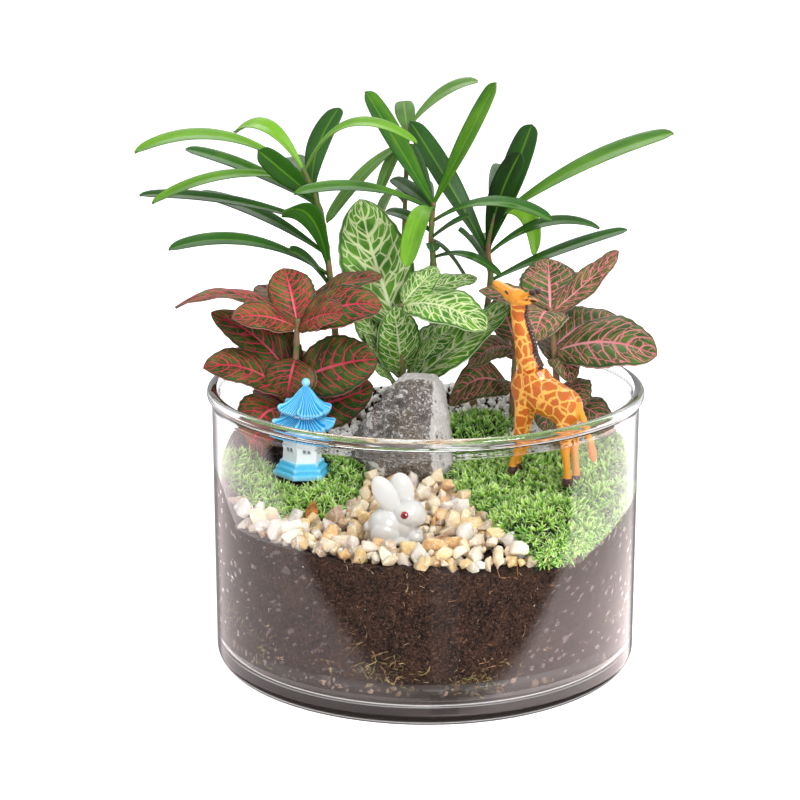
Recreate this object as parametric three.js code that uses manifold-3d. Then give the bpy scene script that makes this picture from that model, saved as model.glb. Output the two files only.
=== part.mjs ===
// A planted glass bowl: drainage stones, sloping soil, a gravel path, moss, a boulder, three small
// ornaments, and eight living plants. Millimetres, +Z up. The origin is the centre of the bowl's
// underside, +X is to the right of a person who looks at the path, and +Y is away from that person.
import * as THREE from "three";
import { mergeVertices } from "three/addons/utils/BufferGeometryUtils.js";
import { ConvexGeometry } from "three/addons/geometries/ConvexGeometry.js";
import Module from "manifold-3d";

const wasm = await Module();
wasm.setup();

// Driving sizes
const bowl = {
  wallRadius: 88,
  wallThickness: 2.8,
  rimRadius: 90,
  height: 116,
  baseThickness: 7,
  footRound: 5,
  sides: 44,
};
const clearance = 0.3; // between one piece and what it rests on or in
const innerRadius = bowl.wallRadius - bowl.wallThickness;
const fillRadius = innerRadius - 0.5; // what lies inside the bowl ends here
const drainage = { depth: 10, lumps: 0.9 };
// Height of the soil's surface in the middle, and its rise per millimetre: to the back and right
// everywhere, and steeper behind the middle
const soilSlope = { middle: 70, back: 0.1, right: 0.06, behind: 0.17 };
// Outside a radius the soil is banked up or falls off to the glass. Each stop is a turn from the
// front in degrees, positive to the right, and the extra height that the soil has at the glass there.
const soilBank = {
  from: 70,
  stops: [
    [-180, 0], [-150, 3], [-108, 18], [-75, 20], [-69, 16], [-60, 5], [-39, 6], [-7, 4],
    [12, -1.5], [25, -5], [44, -8], [62, -1.5], [75, 0], [180, 0],
  ],
};
const stemHole = { depth: 12, sides: 8, clear: 2 * clearance };
const tall = 2 * bowl.height; // the top of the tools that trim and cut
const cove = 3; // between the inside of the wall and the floor
const rimNeck = 2.6; // how far below the rim its bead has run into the wall, in bead radii
const sunk = 4; // how far moss reaches below the soil's surface before it is trimmed

const up = new THREE.Vector3(0, 0, 1);

function bankHeight(x, y) {
  const turn = THREE.MathUtils.radToDeg(Math.atan2(x, -y));
  const after = Math.max(1, soilBank.stops.findIndex(([stop]) => stop >= turn));
  const [[lowTurn, low], [highTurn, high]] = soilBank.stops.slice(after - 1, after + 1);
  const height = low + ((high - low) * (turn - lowTurn)) / (highTurn - lowTurn);
  const share = (Math.hypot(x, y) - soilBank.from) / (fillRadius - soilBank.from);
  return height * Math.max(0, share);
}

function soilLevel(x, y) {
  const { middle, back, right, behind } = soilSlope;
  return middle + back * y + right * x + behind * Math.max(0, y) + bankHeight(x, y);
}

// A repeatable random number from 0 to 1
function randomFrom(seed) {
  let state = seed;
  return () => {
    state = (state * 1664525 + 1013904223) % 4294967296;
    return state / 4294967296;
  };
}

const tints = {
  glass: ["#dfe9ea", 0.05, 0],
  stones: ["#6e6055", 0.8, 0],
  soil: ["#3f2e25", 0.95, 0],
  gravel: ["#e3cda2", 0.5, 0],
  moss: ["#6fa43c", 0.9, 0],
  boulder: ["#8b8783", 0.85, 0],
  pagodaBlue: ["#5bbcea", 0.5, 0],
  rabbitWhite: ["#f4f3f1", 0.2, 0],
  giraffeOrange: ["#eaa13c", 0.4, 0],
  strapLeaf: ["#3f8a2c", 0.4, 0],
  paleLeaf: ["#86b85a", 0.4, 0],
  redNerve: ["#8d4a44", 0.5, 0],
  whiteNerve: ["#a5c886", 0.5, 0],
  pinkNerve: ["#8f6a5c", 0.5, 0],
  deadLeaf: ["#8a5a2e", 0.8, 0],
};

function material(tint) {
  const [color, roughness, metalness] = tints[tint];
  return new THREE.MeshStandardMaterial({ color, roughness, metalness });
}

// Solids and meshes

function solidFrom(geometry) {
  const bare = geometry.index ? geometry.toNonIndexed() : geometry.clone();
  bare.deleteAttribute("normal");
  bare.deleteAttribute("uv");
  const merged = mergeVertices(bare, 1e-4);
  const corners = merged.index.array;
  const triVerts = [];
  for (let i = 0; i < corners.length; i += 3) {
    const [a, b, c] = corners.slice(i, i + 3);
    if (a !== b && b !== c && c !== a) triVerts.push(a, b, c);
  }
  return new wasm.Manifold(
    new wasm.Mesh({
      numProp: 3,
      vertProperties: merged.attributes.position.array,
      triVerts: new Uint32Array(triVerts),
    }),
  );
}

function solidFromArrays(points, triangles) {
  const geometry = new THREE.BufferGeometry();
  geometry.setAttribute("position", new THREE.Float32BufferAttribute(points.flat(), 3));
  geometry.setIndex(triangles.flat());
  return solidFrom(geometry);
}

function unite(solids) {
  return solids.reduce((whole, part) => whole.add(part));
}

function cutAll(solid, cutters) {
  return cutters.reduce((rest, cutter) => rest.subtract(cutter), solid);
}

// The largest single body of a solid: cutting can leave small scraps beside it
function mainBody(solid) {
  return solid.decompose().reduce((a, b) => (a.volume() >= b.volume() ? a : b));
}

const garden = new THREE.Group();

function addPiece(name, solid, tint) {
  const mesh = mainBody(solid).getMesh();
  const geometry = new THREE.BufferGeometry();
  geometry.setAttribute("position", new THREE.BufferAttribute(mesh.vertProperties, 3));
  geometry.setIndex(new THREE.BufferAttribute(mesh.triVerts, 1));
  geometry.computeVertexNormals();
  const piece = new THREE.Mesh(geometry, material(tint));
  piece.name = name;
  garden.add(piece);
  return piece;
}

// A closed skin over two grids of points: the upper face, the lower face, and a wall between them
// wherever their edges are apart
function slabSolid(upper, lower) {
  const rows = upper.length;
  const columns = upper[0].length;
  const count = rows * columns;
  const at = (i, j) => i * columns + j;
  const triangles = [];
  for (let i = 0; i < rows - 1; i++) {
    for (let j = 0; j < columns - 1; j++) {
      const [a, b, c, d] = [at(i, j), at(i, j + 1), at(i + 1, j + 1), at(i + 1, j)];
      triangles.push([a, b, c], [a, c, d]);
      triangles.push([a + count, c + count, b + count], [a + count, d + count, c + count]);
    }
  }
  const edge = [];
  for (let j = 0; j < columns - 1; j++) edge.push(at(0, j));
  for (let i = 0; i < rows - 1; i++) edge.push(at(i, columns - 1));
  for (let j = columns - 1; j > 0; j--) edge.push(at(rows - 1, j));
  for (let i = rows - 1; i > 0; i--) edge.push(at(i, 0));
  edge.forEach((p, k) => {
    const q = edge[(k + 1) % edge.length];
    triangles.push([p + count, q + count, q], [p + count, q, p]);
  });
  return solidFromArrays([...upper.flat(), ...lower.flat()], triangles);
}

// A closed round rod through points, with its own radius at each of them
function rodSolid(points, radii, sides = 6) {
  const centres = points.map((p) => new THREE.Vector3(...p));
  const rings = centres.map((centre, i) => {
    const before = centres[Math.max(0, i - 1)];
    const after = centres[Math.min(centres.length - 1, i + 1)];
    const along = after.clone().sub(before).normalize();
    const helper = Math.abs(along.z) > 0.9 ? new THREE.Vector3(0, 1, 0) : up;
    const across = new THREE.Vector3().crossVectors(helper, along).normalize();
    const upward = new THREE.Vector3().crossVectors(along, across);
    return Array.from({ length: sides }, (_, k) => {
      const turn = (2 * Math.PI * k) / sides;
      return centre
        .clone()
        .addScaledVector(across, radii[i] * Math.cos(turn))
        .addScaledVector(upward, radii[i] * Math.sin(turn))
        .toArray();
    });
  });
  const last = centres.length - 1;
  const vertices = [...rings.flat(), points[0], points[last]];
  const [startCap, endCap] = [vertices.length - 2, vertices.length - 1];
  const triangles = [];
  for (let k = 0; k < sides; k++) {
    const next = (k + 1) % sides;
    for (let i = 0; i < last; i++) {
      const [a, b] = [i * sides + k, i * sides + next];
      triangles.push([a, b, b + sides], [a, b + sides, a + sides]);
    }
    triangles.push([startCap, next, k], [endCap, last * sides + k, last * sides + next]);
  }
  return solidFromArrays(vertices, triangles);
}

function ballSolid([x, y, z], [rx, ry, rz], tilt = [0, 0, 0]) {
  const [around, down] = Math.max(rx, ry, rz) < 4 ? [7, 4] : [8, 5];
  const geometry = new THREE.SphereGeometry(1, around, down);
  geometry.rotateX(Math.PI / 2);
  geometry.scale(rx, ry, rz);
  const turn = new THREE.Euler(...tilt.map(THREE.MathUtils.degToRad));
  geometry.applyMatrix4(new THREE.Matrix4().makeRotationFromEuler(turn));
  geometry.translate(x, y, z);
  return solidFrom(geometry);
}

// An upright prism round an axis, between two heights
function prismSolid([x, y], radius, low, high, sides, turn = 0) {
  const geometry = new THREE.CylinderGeometry(radius, radius, high - low, sides);
  geometry.rotateX(Math.PI / 2);
  geometry.rotateZ(turn);
  geometry.translate(x, y, (low + high) / 2);
  return solidFrom(geometry);
}

function latheSolid(profile, sides) {
  const geometry = new THREE.LatheGeometry(
    profile.map(([radius, height]) => new THREE.Vector2(radius, height)),
    sides,
  );
  geometry.rotateX(Math.PI / 2);
  return solidFrom(geometry);
}

// The inside of the bowl, as a tool to trim what lies against the glass
const insideBowl = prismSolid([0, 0], fillRadius, 0, tall, bowl.sides);

// Glass bowl: thick base, straight wall, and a fire-polished bead for a rim

function glassBowl() {
  const { wallRadius, rimRadius, height, baseThickness, footRound } = bowl;
  const beadMiddle = (rimRadius + innerRadius) / 2;
  const beadHalf = (rimRadius - innerRadius) / 2;
  const bead = [-60, 0, 60, 120, 180, 240].map((degrees) => {
    const turn = THREE.MathUtils.degToRad(degrees);
    return [beadMiddle + beadHalf * Math.cos(turn), height + beadHalf * (Math.sin(turn) - 1)];
  });
  const foot = [0, 45, 90].map((degrees) => {
    const turn = THREE.MathUtils.degToRad(degrees);
    return [
      wallRadius - footRound * (1 - Math.sin(turn)),
      footRound * (1 - Math.cos(turn)),
    ];
  });
  const profile = [
    [0, 0],
    ...foot,
    [wallRadius, height - rimNeck * beadHalf],
    ...bead,
    [innerRadius, height - rimNeck * beadHalf],
    [innerRadius, baseThickness + cove],
    [innerRadius - cove, baseThickness],
    [0, baseThickness],
  ];
  addPiece("glass_bowl", latheSolid(profile, bowl.sides), "glass");
}

// Drainage stones and soil

// Rings of points round the axis, closed at the top and bottom middle
function roundSolid(rings, bottomHeight, topHeight) {
  const sides = rings[0].length;
  const triangles = [];
  const bottom = rings.length * sides;
  for (let k = 0; k < sides; k++) {
    const next = (k + 1) % sides;
    for (let i = 0; i < rings.length - 1; i++) {
      const [a, b] = [i * sides + k, i * sides + next];
      triangles.push([a, b, b + sides], [a, b + sides, a + sides]);
    }
    triangles.push([bottom, next, k]);
    triangles.push([bottom + 1, bottom - sides + k, bottom - sides + next]);
  }
  return solidFromArrays([...rings.flat(), [0, 0, bottomHeight], [0, 0, topHeight]], triangles);
}

function ring(radiusAt, heightAt) {
  return Array.from({ length: bowl.sides }, (_, k) => {
    const turn = (2 * Math.PI * k) / bowl.sides;
    const radius = radiusAt(turn);
    const [x, y] = [radius * Math.sin(turn), -radius * Math.cos(turn)];
    return [x, y, heightAt(x, y)];
  });
}

const drainageFloor = bowl.baseThickness + clearance;
const drainageTop = drainageFloor + drainage.depth;

function drainageStones() {
  const lumpy = (row) => (turn) =>
    fillRadius - drainage.lumps * (1 + Math.sin(13 * turn + 2.1 * row) * Math.cos(7 * turn - row));
  const rings = [
    ring(() => innerRadius - cove - 1, () => drainageFloor),
    ring(lumpy(1), () => drainageFloor + 0.4 * drainage.depth),
    ring(lumpy(2), () => drainageFloor + 0.7 * drainage.depth),
    ring(lumpy(3), () => drainageTop),
  ];
  addPiece("drainage_stones", roundSolid(rings, drainageFloor, drainageTop), "stones");
}

// A tall prism round a plant's stem that starts at a depth under the soil's surface
function stemPrism({ root, radius }, depth) {
  return prismSolid(root, radius + stemHole.clear, soilLevel(...root) - depth, tall, stemHole.sides);
}

function soil(roots, seats) {
  const floor = drainageTop + clearance;
  const rings = [
    ring(() => fillRadius, () => floor),
    ring(() => fillRadius, soilLevel),
    ring(() => soilBank.from, soilLevel),
  ];
  const holes = roots.map((habit) => stemPrism(habit, stemHole.depth + clearance));
  const bed = roundSolid(rings, floor, soilLevel(0, 0));
  addPiece("soil", cutAll(bed, [...holes, ...seats]), "soil");
}

// Boulder: the hull of its corners, from the top down

const boulderCorners = [
  [-14, 14, 112], [-6, 10, 115], [4, 11, 113.5], [8, 22, 110], [4, 27, 112.5], [-8, 26, 113.5],
  [-11, 26, 110], [-19, 13, 103], [8.5, 13, 104], [9, 28, 101], [-17, 30, 98],
  [-31.5, 15, 88], [-29, 7, 84], [-12, 1, 93], [2, 0, 95], [11, 11, 88], [12, 27, 86],
  [0, 35, 89], [-23, 29, 86], [-32, 19, 78], [-18, 0, 77], [-6, -6, 82], [3, -5, 77],
  [11, 4, 80], [12, 19, 76], [5, 33, 76], [-18, 33, 76],
  [-17, 6, 66], [-1, 2, 66], [7, 14, 66], [0, 28, 66], [-18, 26, 66],
];

function boulderSolid(grow) {
  const corners = boulderCorners.map((corner) => new THREE.Vector3(...corner));
  const middle = new THREE.Box3().setFromPoints(corners).getCenter(new THREE.Vector3());
  for (const corner of corners) {
    const outward = corner.clone().sub(middle).normalize();
    corner.addScaledVector(outward, grow);
  }
  return solidFrom(new ConvexGeometry(corners));
}

// Everything below the soil's surface, raised by a height
function underSurface(lift) {
  const raised = (x, y) => soilLevel(x, y) + lift;
  const rings = [
    ring(() => innerRadius, () => 0),
    ring(() => innerRadius, raised),
    ring(() => soilBank.from, raised),
  ];
  return roundSolid(rings, 0, raised(0, 0));
}

// Gravel path: a thin bed in the path's outline that follows the soil, with pebbles sunk in it

const path = {
  thickness: 3,
  pebbles: 1500,
  pebbleRadius: [3.4, 5],
  spacing: 0.88, // of the sum of two neighbours' radii
  edge: [
    [-77, -30], [-66, -27], [-53, -30], [-39, -33], [-32, -22], [-28, -8], [-25, 4], [6, 4],
    [13, -9], [19, -24], [22, -40], [26, -53], [34, -63], [42.5, -71.6],
  ],
  wallTurns: [-62, -68, -79, -90, -101, -112, -123, -134, -145, -153],
};

function pathOutline() {
  const atWall = path.wallTurns.map((degrees) => {
    const turn = THREE.MathUtils.degToRad(degrees);
    return [(fillRadius - 0.4) * Math.cos(turn), (fillRadius - 0.4) * Math.sin(turn)];
  });
  return [...path.edge, ...atWall].map(([x, y]) => new THREE.Vector2(x, y));
}

// The path's outline as a tall upright block, grown sideways by a margin
function pathBlock(margin) {
  const outline = pathOutline();
  const grown = outline.map((p, i) => {
    const before = outline[(i + outline.length - 1) % outline.length];
    const after = outline[(i + 1) % outline.length];
    const along = after.clone().sub(before).normalize();
    return p.clone().add(new THREE.Vector2(-along.y, along.x).multiplyScalar(margin));
  });
  const shape = new THREE.Shape(grown);
  return solidFrom(new THREE.ExtrudeGeometry(shape, { depth: tall, bevelEnabled: false }));
}

function insideOutline(outline, x, y, margin) {
  let inside = false;
  let nearest = Infinity;
  const spot = new THREE.Vector2(x, y);
  outline.forEach((a, i) => {
    const b = outline[(i + 1) % outline.length];
    if (a.y > y !== b.y > y && x < ((b.x - a.x) * (y - a.y)) / (b.y - a.y) + a.x) inside = !inside;
    const side = b.clone().sub(a);
    const share = THREE.MathUtils.clamp(spot.clone().sub(a).dot(side) / side.lengthSq(), 0, 1);
    nearest = Math.min(nearest, spot.distanceTo(a.clone().addScaledVector(side, share)));
  });
  return inside && nearest > margin;
}

function gravelPath(cutters) {
  const random = randomFrom(11);
  const outline = pathOutline();
  const placed = [];
  const pebbles = [];
  const [least, most] = path.pebbleRadius;
  for (let tries = 0; tries < path.pebbles; tries++) {
    const radius = least + (most - least) * random();
    const x = fillRadius * (2 * random() - 1);
    const y = fillRadius * (2 * random() - 1);
    const free = placed.every((p) => Math.hypot(p.x - x, p.y - y) > path.spacing * (p.radius + radius));
    const turn = [random(), random(), random()].map((share) => share * Math.PI);
    if (!free || !insideOutline(outline, x, y, radius + 0.3)) continue;
    placed.push({ x, y, radius });
    const geometry = new THREE.IcosahedronGeometry(radius, 0);
    geometry.scale(1, 0.85, 0.75);
    geometry.applyMatrix4(new THREE.Matrix4().makeRotationFromEuler(new THREE.Euler(...turn)));
    geometry.translate(x, y, soilLevel(x, y) + clearance + radius + 0.2);
    pebbles.push(solidFrom(geometry));
  }
  const bed = pathBlock(0).intersect(underSurface(path.thickness));
  addPiece("gravel_path", cutAll(unite([bed, ...pebbles]), cutters), "gravel");
}

// Moss: low domes with a tufted surface

const mossDomes = {
  moss_left: [
    { centre: [-66, -5], half: [20, 25], height: 8 },
    { centre: [-43, -13], half: [15, 18], height: 7 },
    { centre: [-38, 13], half: [17, 18], height: 8 },
  ],
  moss_right_front: [{ centre: [46, -53], half: [24, 23], height: 12 }],
  moss_right_back: [
    { centre: [38, 2], half: [30, 25], height: 8 },
    { centre: [67, -12], half: [19, 30], height: 9 },
  ],
  moss_back: [{ centre: [22, 42], half: [17, 12], height: 7 }],
};

const tufts = { around: 16, steps: 3, height: 1.1, foot: 0.97 };

function mossDome({ centre, half, height }) {
  const { around, steps } = tufts;
  const rings = [tufts.foot, ...Array.from({ length: steps }, (_, i) => 1 - i / steps)];
  const points = rings.flatMap((share, i) =>
    Array.from({ length: around }, (_, k) => {
      const turn = (2 * Math.PI * (k + 0.5 * i)) / around;
      const x = centre[0] + half[0] * share * Math.cos(turn);
      const y = centre[1] + half[1] * share * Math.sin(turn);
      const tuft = (k + i) % 2 ? tufts.height : 0;
      const lift = i === 0 ? -sunk : 1 + tuft + (height - 2) * (1 - share ** 3);
      return [x, y, soilLevel(x, y) + lift];
    }),
  );
  const [bottom, top] = [points.length, points.length + 1];
  points.push([...centre, soilLevel(...centre) - sunk], [...centre, soilLevel(...centre) + height]);
  const triangles = [];
  for (let k = 0; k < around; k++) {
    const next = (k + 1) % around;
    for (let i = 0; i < rings.length - 1; i++) {
      const [a, b] = [i * around + k, i * around + next];
      triangles.push([a, b, a + around], [b, b + around, a + around]);
    }
    const lastRing = (rings.length - 1) * around;
    triangles.push([bottom, next, k], [top, lastRing + k, lastRing + next]);
  }
  return solidFromArrays(points, triangles);
}

function moss(cutters) {
  let earlier = [];
  for (const [name, domes] of Object.entries(mossDomes)) {
    const whole = unite(domes.map(mossDome)).intersect(insideBowl);
    addPiece(name, cutAll(whole, [...cutters, ...earlier]), "moss");
    const grown = domes.map(({ centre, half: [halfX, halfY] }) =>
      prismSolid([0, 0], 1, 0, tall, 24)
        .scale([halfX + 1, halfY + 1, 1])
        .translate([...centre, 0]),
    );
    earlier = [...earlier, ...grown];
  }
}

// Ornaments

// Profiles are pairs of a radius and a height above the foot
const pagoda = {
  spot: [-52.3, 9],
  foot: 73,
  turn: 46.7,
  lean: 3.7,
  seatRadius: 13.2,
  base: [[0, 0], [12.4, 0], [12.4, 1.8], [11.3, 2.6], [11.3, 4], [9.8, 4.9], [9.6, 6.6], [0, 6.6]],
  walls: [[0, 6], [8.6, 6], [8, 22.5], [0, 22.5]],
  lowerRoof: { eave: 21.6, top: 29.4, radius: 13.8, neck: 0.5 },
  upperWalls: [[0, 21], [6.4, 21], [6.2, 29], [0, 29]],
  upperRoof: { eave: 27.8, top: 38, radius: 11.7, neck: 0.45 },
  finial: [[0, 35], [1, 35], [0.9, 38.6], [0, 38.6]],
  knob: { height: 39.6, radius: 1.8 },
};

function pagodaProfileSolid(profile) {
  const geometry = new THREE.LatheGeometry(
    profile.map(([radius, height]) => new THREE.Vector2(radius, height)),
    6,
  );
  geometry.rotateX(Math.PI / 2);
  return solidFrom(geometry);
}

// A hexagonal roof whose hips curve out to six raised corners
function pagodaRoof({ eave, top, radius, neck }) {
  const steps = [
    { share: 1, lift: 0.0, corner: 1.3 },
    { share: 0.74, lift: 0.16, corner: 0.45 },
    { share: 0.5, lift: 0.4, corner: 0.1 },
    { share: 0.28, lift: 0.72, corner: 0 },
  ];
  const around = 12;
  const loop = (share, lift, corner, drop) =>
    Array.from({ length: around }, (_, k) => {
      const turn = (Math.PI * k) / 6;
      const isCorner = k % 2 === 1;
      const reach = radius * share * (isCorner ? 1 : 0.84);
      const height = eave + (top - eave) * lift + (isCorner ? corner : 0) - drop;
      return [reach * Math.cos(turn), reach * Math.sin(turn), height];
    });
  const points = [
    ...loop(neck, 0.1, 0, 1.6),
    ...loop(1, 0, 1.3, 1),
    ...steps.flatMap(({ share, lift, corner }) => loop(share, lift, corner, 0)),
  ];
  const rings = steps.length + 2;
  const [bottom, tip] = [points.length, points.length + 1];
  points.push([0, 0, eave + (top - eave) * 0.1 - 1.6], [0, 0, top]);
  const triangles = [];
  for (let k = 0; k < around; k++) {
    const next = (k + 1) % around;
    for (let i = 0; i < rings - 1; i++) {
      const [a, b] = [i * around + k, i * around + next];
      triangles.push([a, b, b + around], [a, b + around, a + around]);
    }
    const lastRing = (rings - 1) * around;
    triangles.push([bottom, next, k], [tip, lastRing + k, lastRing + next]);
  }
  return solidFromArrays(points, triangles);
}

// Turned to its heading, leant a little to the right, and set on its spot
function placePagoda(solid, foot) {
  return solid
    .rotate([0, 0, pagoda.turn])
    .rotate([0, pagoda.lean, 0])
    .translate([...pagoda.spot, foot]);
}

function pagodaFigure() {
  const { base, walls, upperWalls, finial, lowerRoof, upperRoof, knob } = pagoda;
  const whole = unite([
    ...[base, walls, upperWalls, finial].map(pagodaProfileSolid),
    ...[lowerRoof, upperRoof].map(pagodaRoof),
    ballSolid([0, 0, knob.height], [knob.radius, knob.radius, knob.radius]),
  ]);
  addPiece("pagoda", placePagoda(whole, pagoda.foot), "pagodaBlue");
}

// The rabbit looks to +X; its parts are measured from the middle of its underside
const rabbit = {
  spot: [-12, -55],
  foot: 65.2,
  seat: [13.8, 7.6],
  parts: {
    haunch: { centre: [-3.6, 0, 7], half: [7.4, 6.4, 7.4] },
    chest: { centre: [2.2, 0, 7.2], half: [5.8, 5, 7] },
    head: { centre: [4.8, 0, 11.8], half: [6.8, 5.8, 6] },
    muzzle: { centre: [8.4, 0, 10.4], half: [3.6, 4, 3.6] },
    nearEar: { centre: [-4.6, -2.4, 20.4], half: [3.9, 1.9, 8], tilt: [0, -32, 0] },
    farEar: { centre: [2.2, 1.6, 20.2], half: [5.1, 2.2, 7.9], tilt: [0, -6, 0] },
    nearPaw: { centre: [7.2, -2.7, 2.4], half: [3.6, 2.4, 3] },
    farPaw: { centre: [7.2, 2.7, 2.4], half: [3.6, 2.4, 3] },
    tail: { centre: [-10.4, 0, 6.4], half: [2.3, 2.3, 2.3] },
  },
};

function rabbitFigure() {
  const [x, y] = rabbit.spot;
  const parts = Object.values(rabbit.parts).map(({ centre, half, tilt }) => ballSolid(centre, half, tilt));
  const aboveFoot = prismSolid([0, 0], bowl.wallRadius, 0, tall, 12);
  addPiece("rabbit", unite(parts).intersect(aboveFoot).translate([x, y, rabbit.foot]), "rabbitWhite");
}

// The giraffe's parts are measured along its heading, to its left, and up from its hooves
const giraffe = {
  spot: [48, -12],
  foot: 78.6,
  heading: 141.5,
  hooves: [[13, 2.6], [14.5, -2.6], [-14, 3], [-14.3, -3]],
  hoofRadius: 2.5,
  hips: { front: 8, hind: -11.5, height: 32, kneeHeight: 16 },
  balls: {
    barrel: { centre: [-2, 0, 34.4], half: [15, 7.2, 8.2], tilt: [0, -16, 0] },
    shoulder: { centre: [7, 0, 37], half: [8, 7, 9.5] },
    rump: { centre: [-10.6, 0, 31.4], half: [7.6, 6.8, 8] },
    head: { centre: [13.5, 0, 73.5], half: [4.6, 3.6, 3.8], tilt: [0, -28, 0] },
  },
  rods: {
    neck: {
      points: [[3, 0, 38], [7, 0, 46], [10, 0, 55], [13, 0, 66], [13, 0, 73]],
      radii: [7.5, 5.6, 4, 3.2, 3.2],
      sides: 8,
    },
    snout: { points: [[12, 0, 72.5], [19, 0, 75.6], [24.5, 0, 78]], radii: [3.6, 2.3, 1.7], sides: 8 },
    mane: {
      points: [[4.4, 0, 45], [5.2, 0, 55], [9.6, 0, 66], [9.4, 0, 72]],
      radii: [1.6, 1.5, 1.3, 1],
      sides: 4,
    },
    tail: {
      points: [[-15.5, 0, 35], [-19.5, 0, 28], [-23, 0, 18], [-24.5, 0, 11]],
      radii: [1.7, 1.4, 1.8, 0.8],
      sides: 5,
    },
  },
  // One of each pair; the other is its mirror image
  paired: {
    horn: { points: [[13, 1.7, 74], [7, 1.7, 76.5], [5.2, 1.7, 77]], radii: [0.9, 0.9, 1.6], sides: 5 },
    ear: { points: [[11, 1.8, 73], [5.5, 4.2, 72.6]], radii: [1.6, 0.8], sides: 5 },
  },
};

function giraffeLeg([x, y], i) {
  const { front, hind, height, kneeHeight } = giraffe.hips;
  const hipX = i < 2 ? front : hind;
  const ankle = [[x, y, 0], [x, y, 2.6], [x - 0.2, y, 3.2]];
  const knee = [(x + hipX) / 2, y, kneeHeight];
  return rodSolid([...ankle, knee, [hipX, 0.9 * y, height]], [giraffe.hoofRadius, 2.1, 1.7, 1.9, 3.6]);
}

function giraffeFigure() {
  const mirrored = ({ points, ...rest }) => ({ points: points.map(([x, y, z]) => [x, -y, z]), ...rest });
  const pairs = Object.values(giraffe.paired).flatMap((rod) => [rod, mirrored(rod)]);
  const parts = [
    ...Object.values(giraffe.balls).map(({ centre, half, tilt }) => ballSolid(centre, half, tilt)),
    ...[...Object.values(giraffe.rods), ...pairs].map((rod) => rodSolid(rod.points, rod.radii, rod.sides)),
    ...giraffe.hooves.map(giraffeLeg),
  ];
  const [x, y] = giraffe.spot;
  const whole = unite(parts).rotate([0, 0, giraffe.heading]);
  addPiece("giraffe", whole.translate([x, y, giraffe.foot]), "giraffeOrange");
}

// Seats pressed into the moss and gravel under the ornaments
function ornamentSeats() {
  const turn = THREE.MathUtils.degToRad(giraffe.heading);
  const margin = 0.8;
  const hooves = giraffe.hooves.map(([along, aside]) => {
    const x = giraffe.spot[0] + along * Math.cos(turn) - aside * Math.sin(turn);
    const y = giraffe.spot[1] + along * Math.sin(turn) + aside * Math.cos(turn);
    return prismSolid([x, y], giraffe.hoofRadius + margin, giraffe.foot - clearance, tall, 8);
  });
  const { seatRadius, foot } = pagoda;
  const socket = pagodaProfileSolid([[0, 0], [seatRadius, 0], [seatRadius, tall], [0, tall]]);
  const underPagoda = placePagoda(socket, foot - clearance);
  const underRabbit = prismSolid([0, 0], 1, rabbit.foot - clearance, tall, 16)
    .scale([...rabbit.seat, 1])
    .translate([...rabbit.spot, 0]);
  return [...hooves, underPagoda, underRabbit];
}

// A dry curled scrap of leaf that lies against the moss at the path's edge
const scrap = { length: 9, half: 2.6, lean: 1.4, curl: 1.5, cup: 0.8, thickness: 0.8, rows: 4 };
const scrapPlace = { tilt: [20, 0, 0], spot: [-46.2, -35.2, 66.9] };

function dryLeaf() {
  const upper = Array.from({ length: scrap.rows + 1 }, (_, i) => {
    const share = i / scrap.rows;
    const half = scrap.half * Math.sin(Math.PI * (0.12 + 0.76 * share));
    return [-1, 0, 1].map((side) => [
      side * half + scrap.lean * share,
      scrap.curl * share * share,
      scrap.length * share + scrap.cup * side * side,
    ]);
  });
  const lower = upper.map((row) => row.map(([x, y, z]) => [x, y + scrap.thickness, z]));
  const blade = slabSolid(upper, lower).rotate(scrapPlace.tilt).translate(scrapPlace.spot);
  addPiece("dry_leaf", blade, "deadLeaf");
}

// Leaves and stems

const strap = {
  rows: [0, 0.12, 0.35, 0.62, 0.87, 1],
  columns: () => 2,
  thickness: 1,
  fold: 0.16,
  curl: 0,
  wave: 0,
  outline: (t) => (t < 0.62 ? 0.2 + 0.8 * Math.sin((Math.PI / 2) * (t / 0.62)) ** 1.2 : blunt(t)),
};
const nerve = {
  rows: [0, 0.13, 0.36, 0.68, 1],
  columns: (width) => (width > 18 ? 4 : 2),
  thickness: 1,
  fold: 0.3,
  curl: 0.28,
  wave: 0.5,
  outline: (t) => 0.1 + 0.9 * Math.sin(Math.PI * Math.min(1, Math.max(0, t - 0.05) / 0.97) ** 0.85) ** 0.68,
};

function blunt(t) {
  return 0.3 + 0.7 * Math.sqrt(Math.max(0, 1 - ((t - 0.62) / 0.38) ** 2.4));
}

// Leaves turn their upper side to the light, which comes from above and in front
const light = [0, -0.5, 1];

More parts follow.
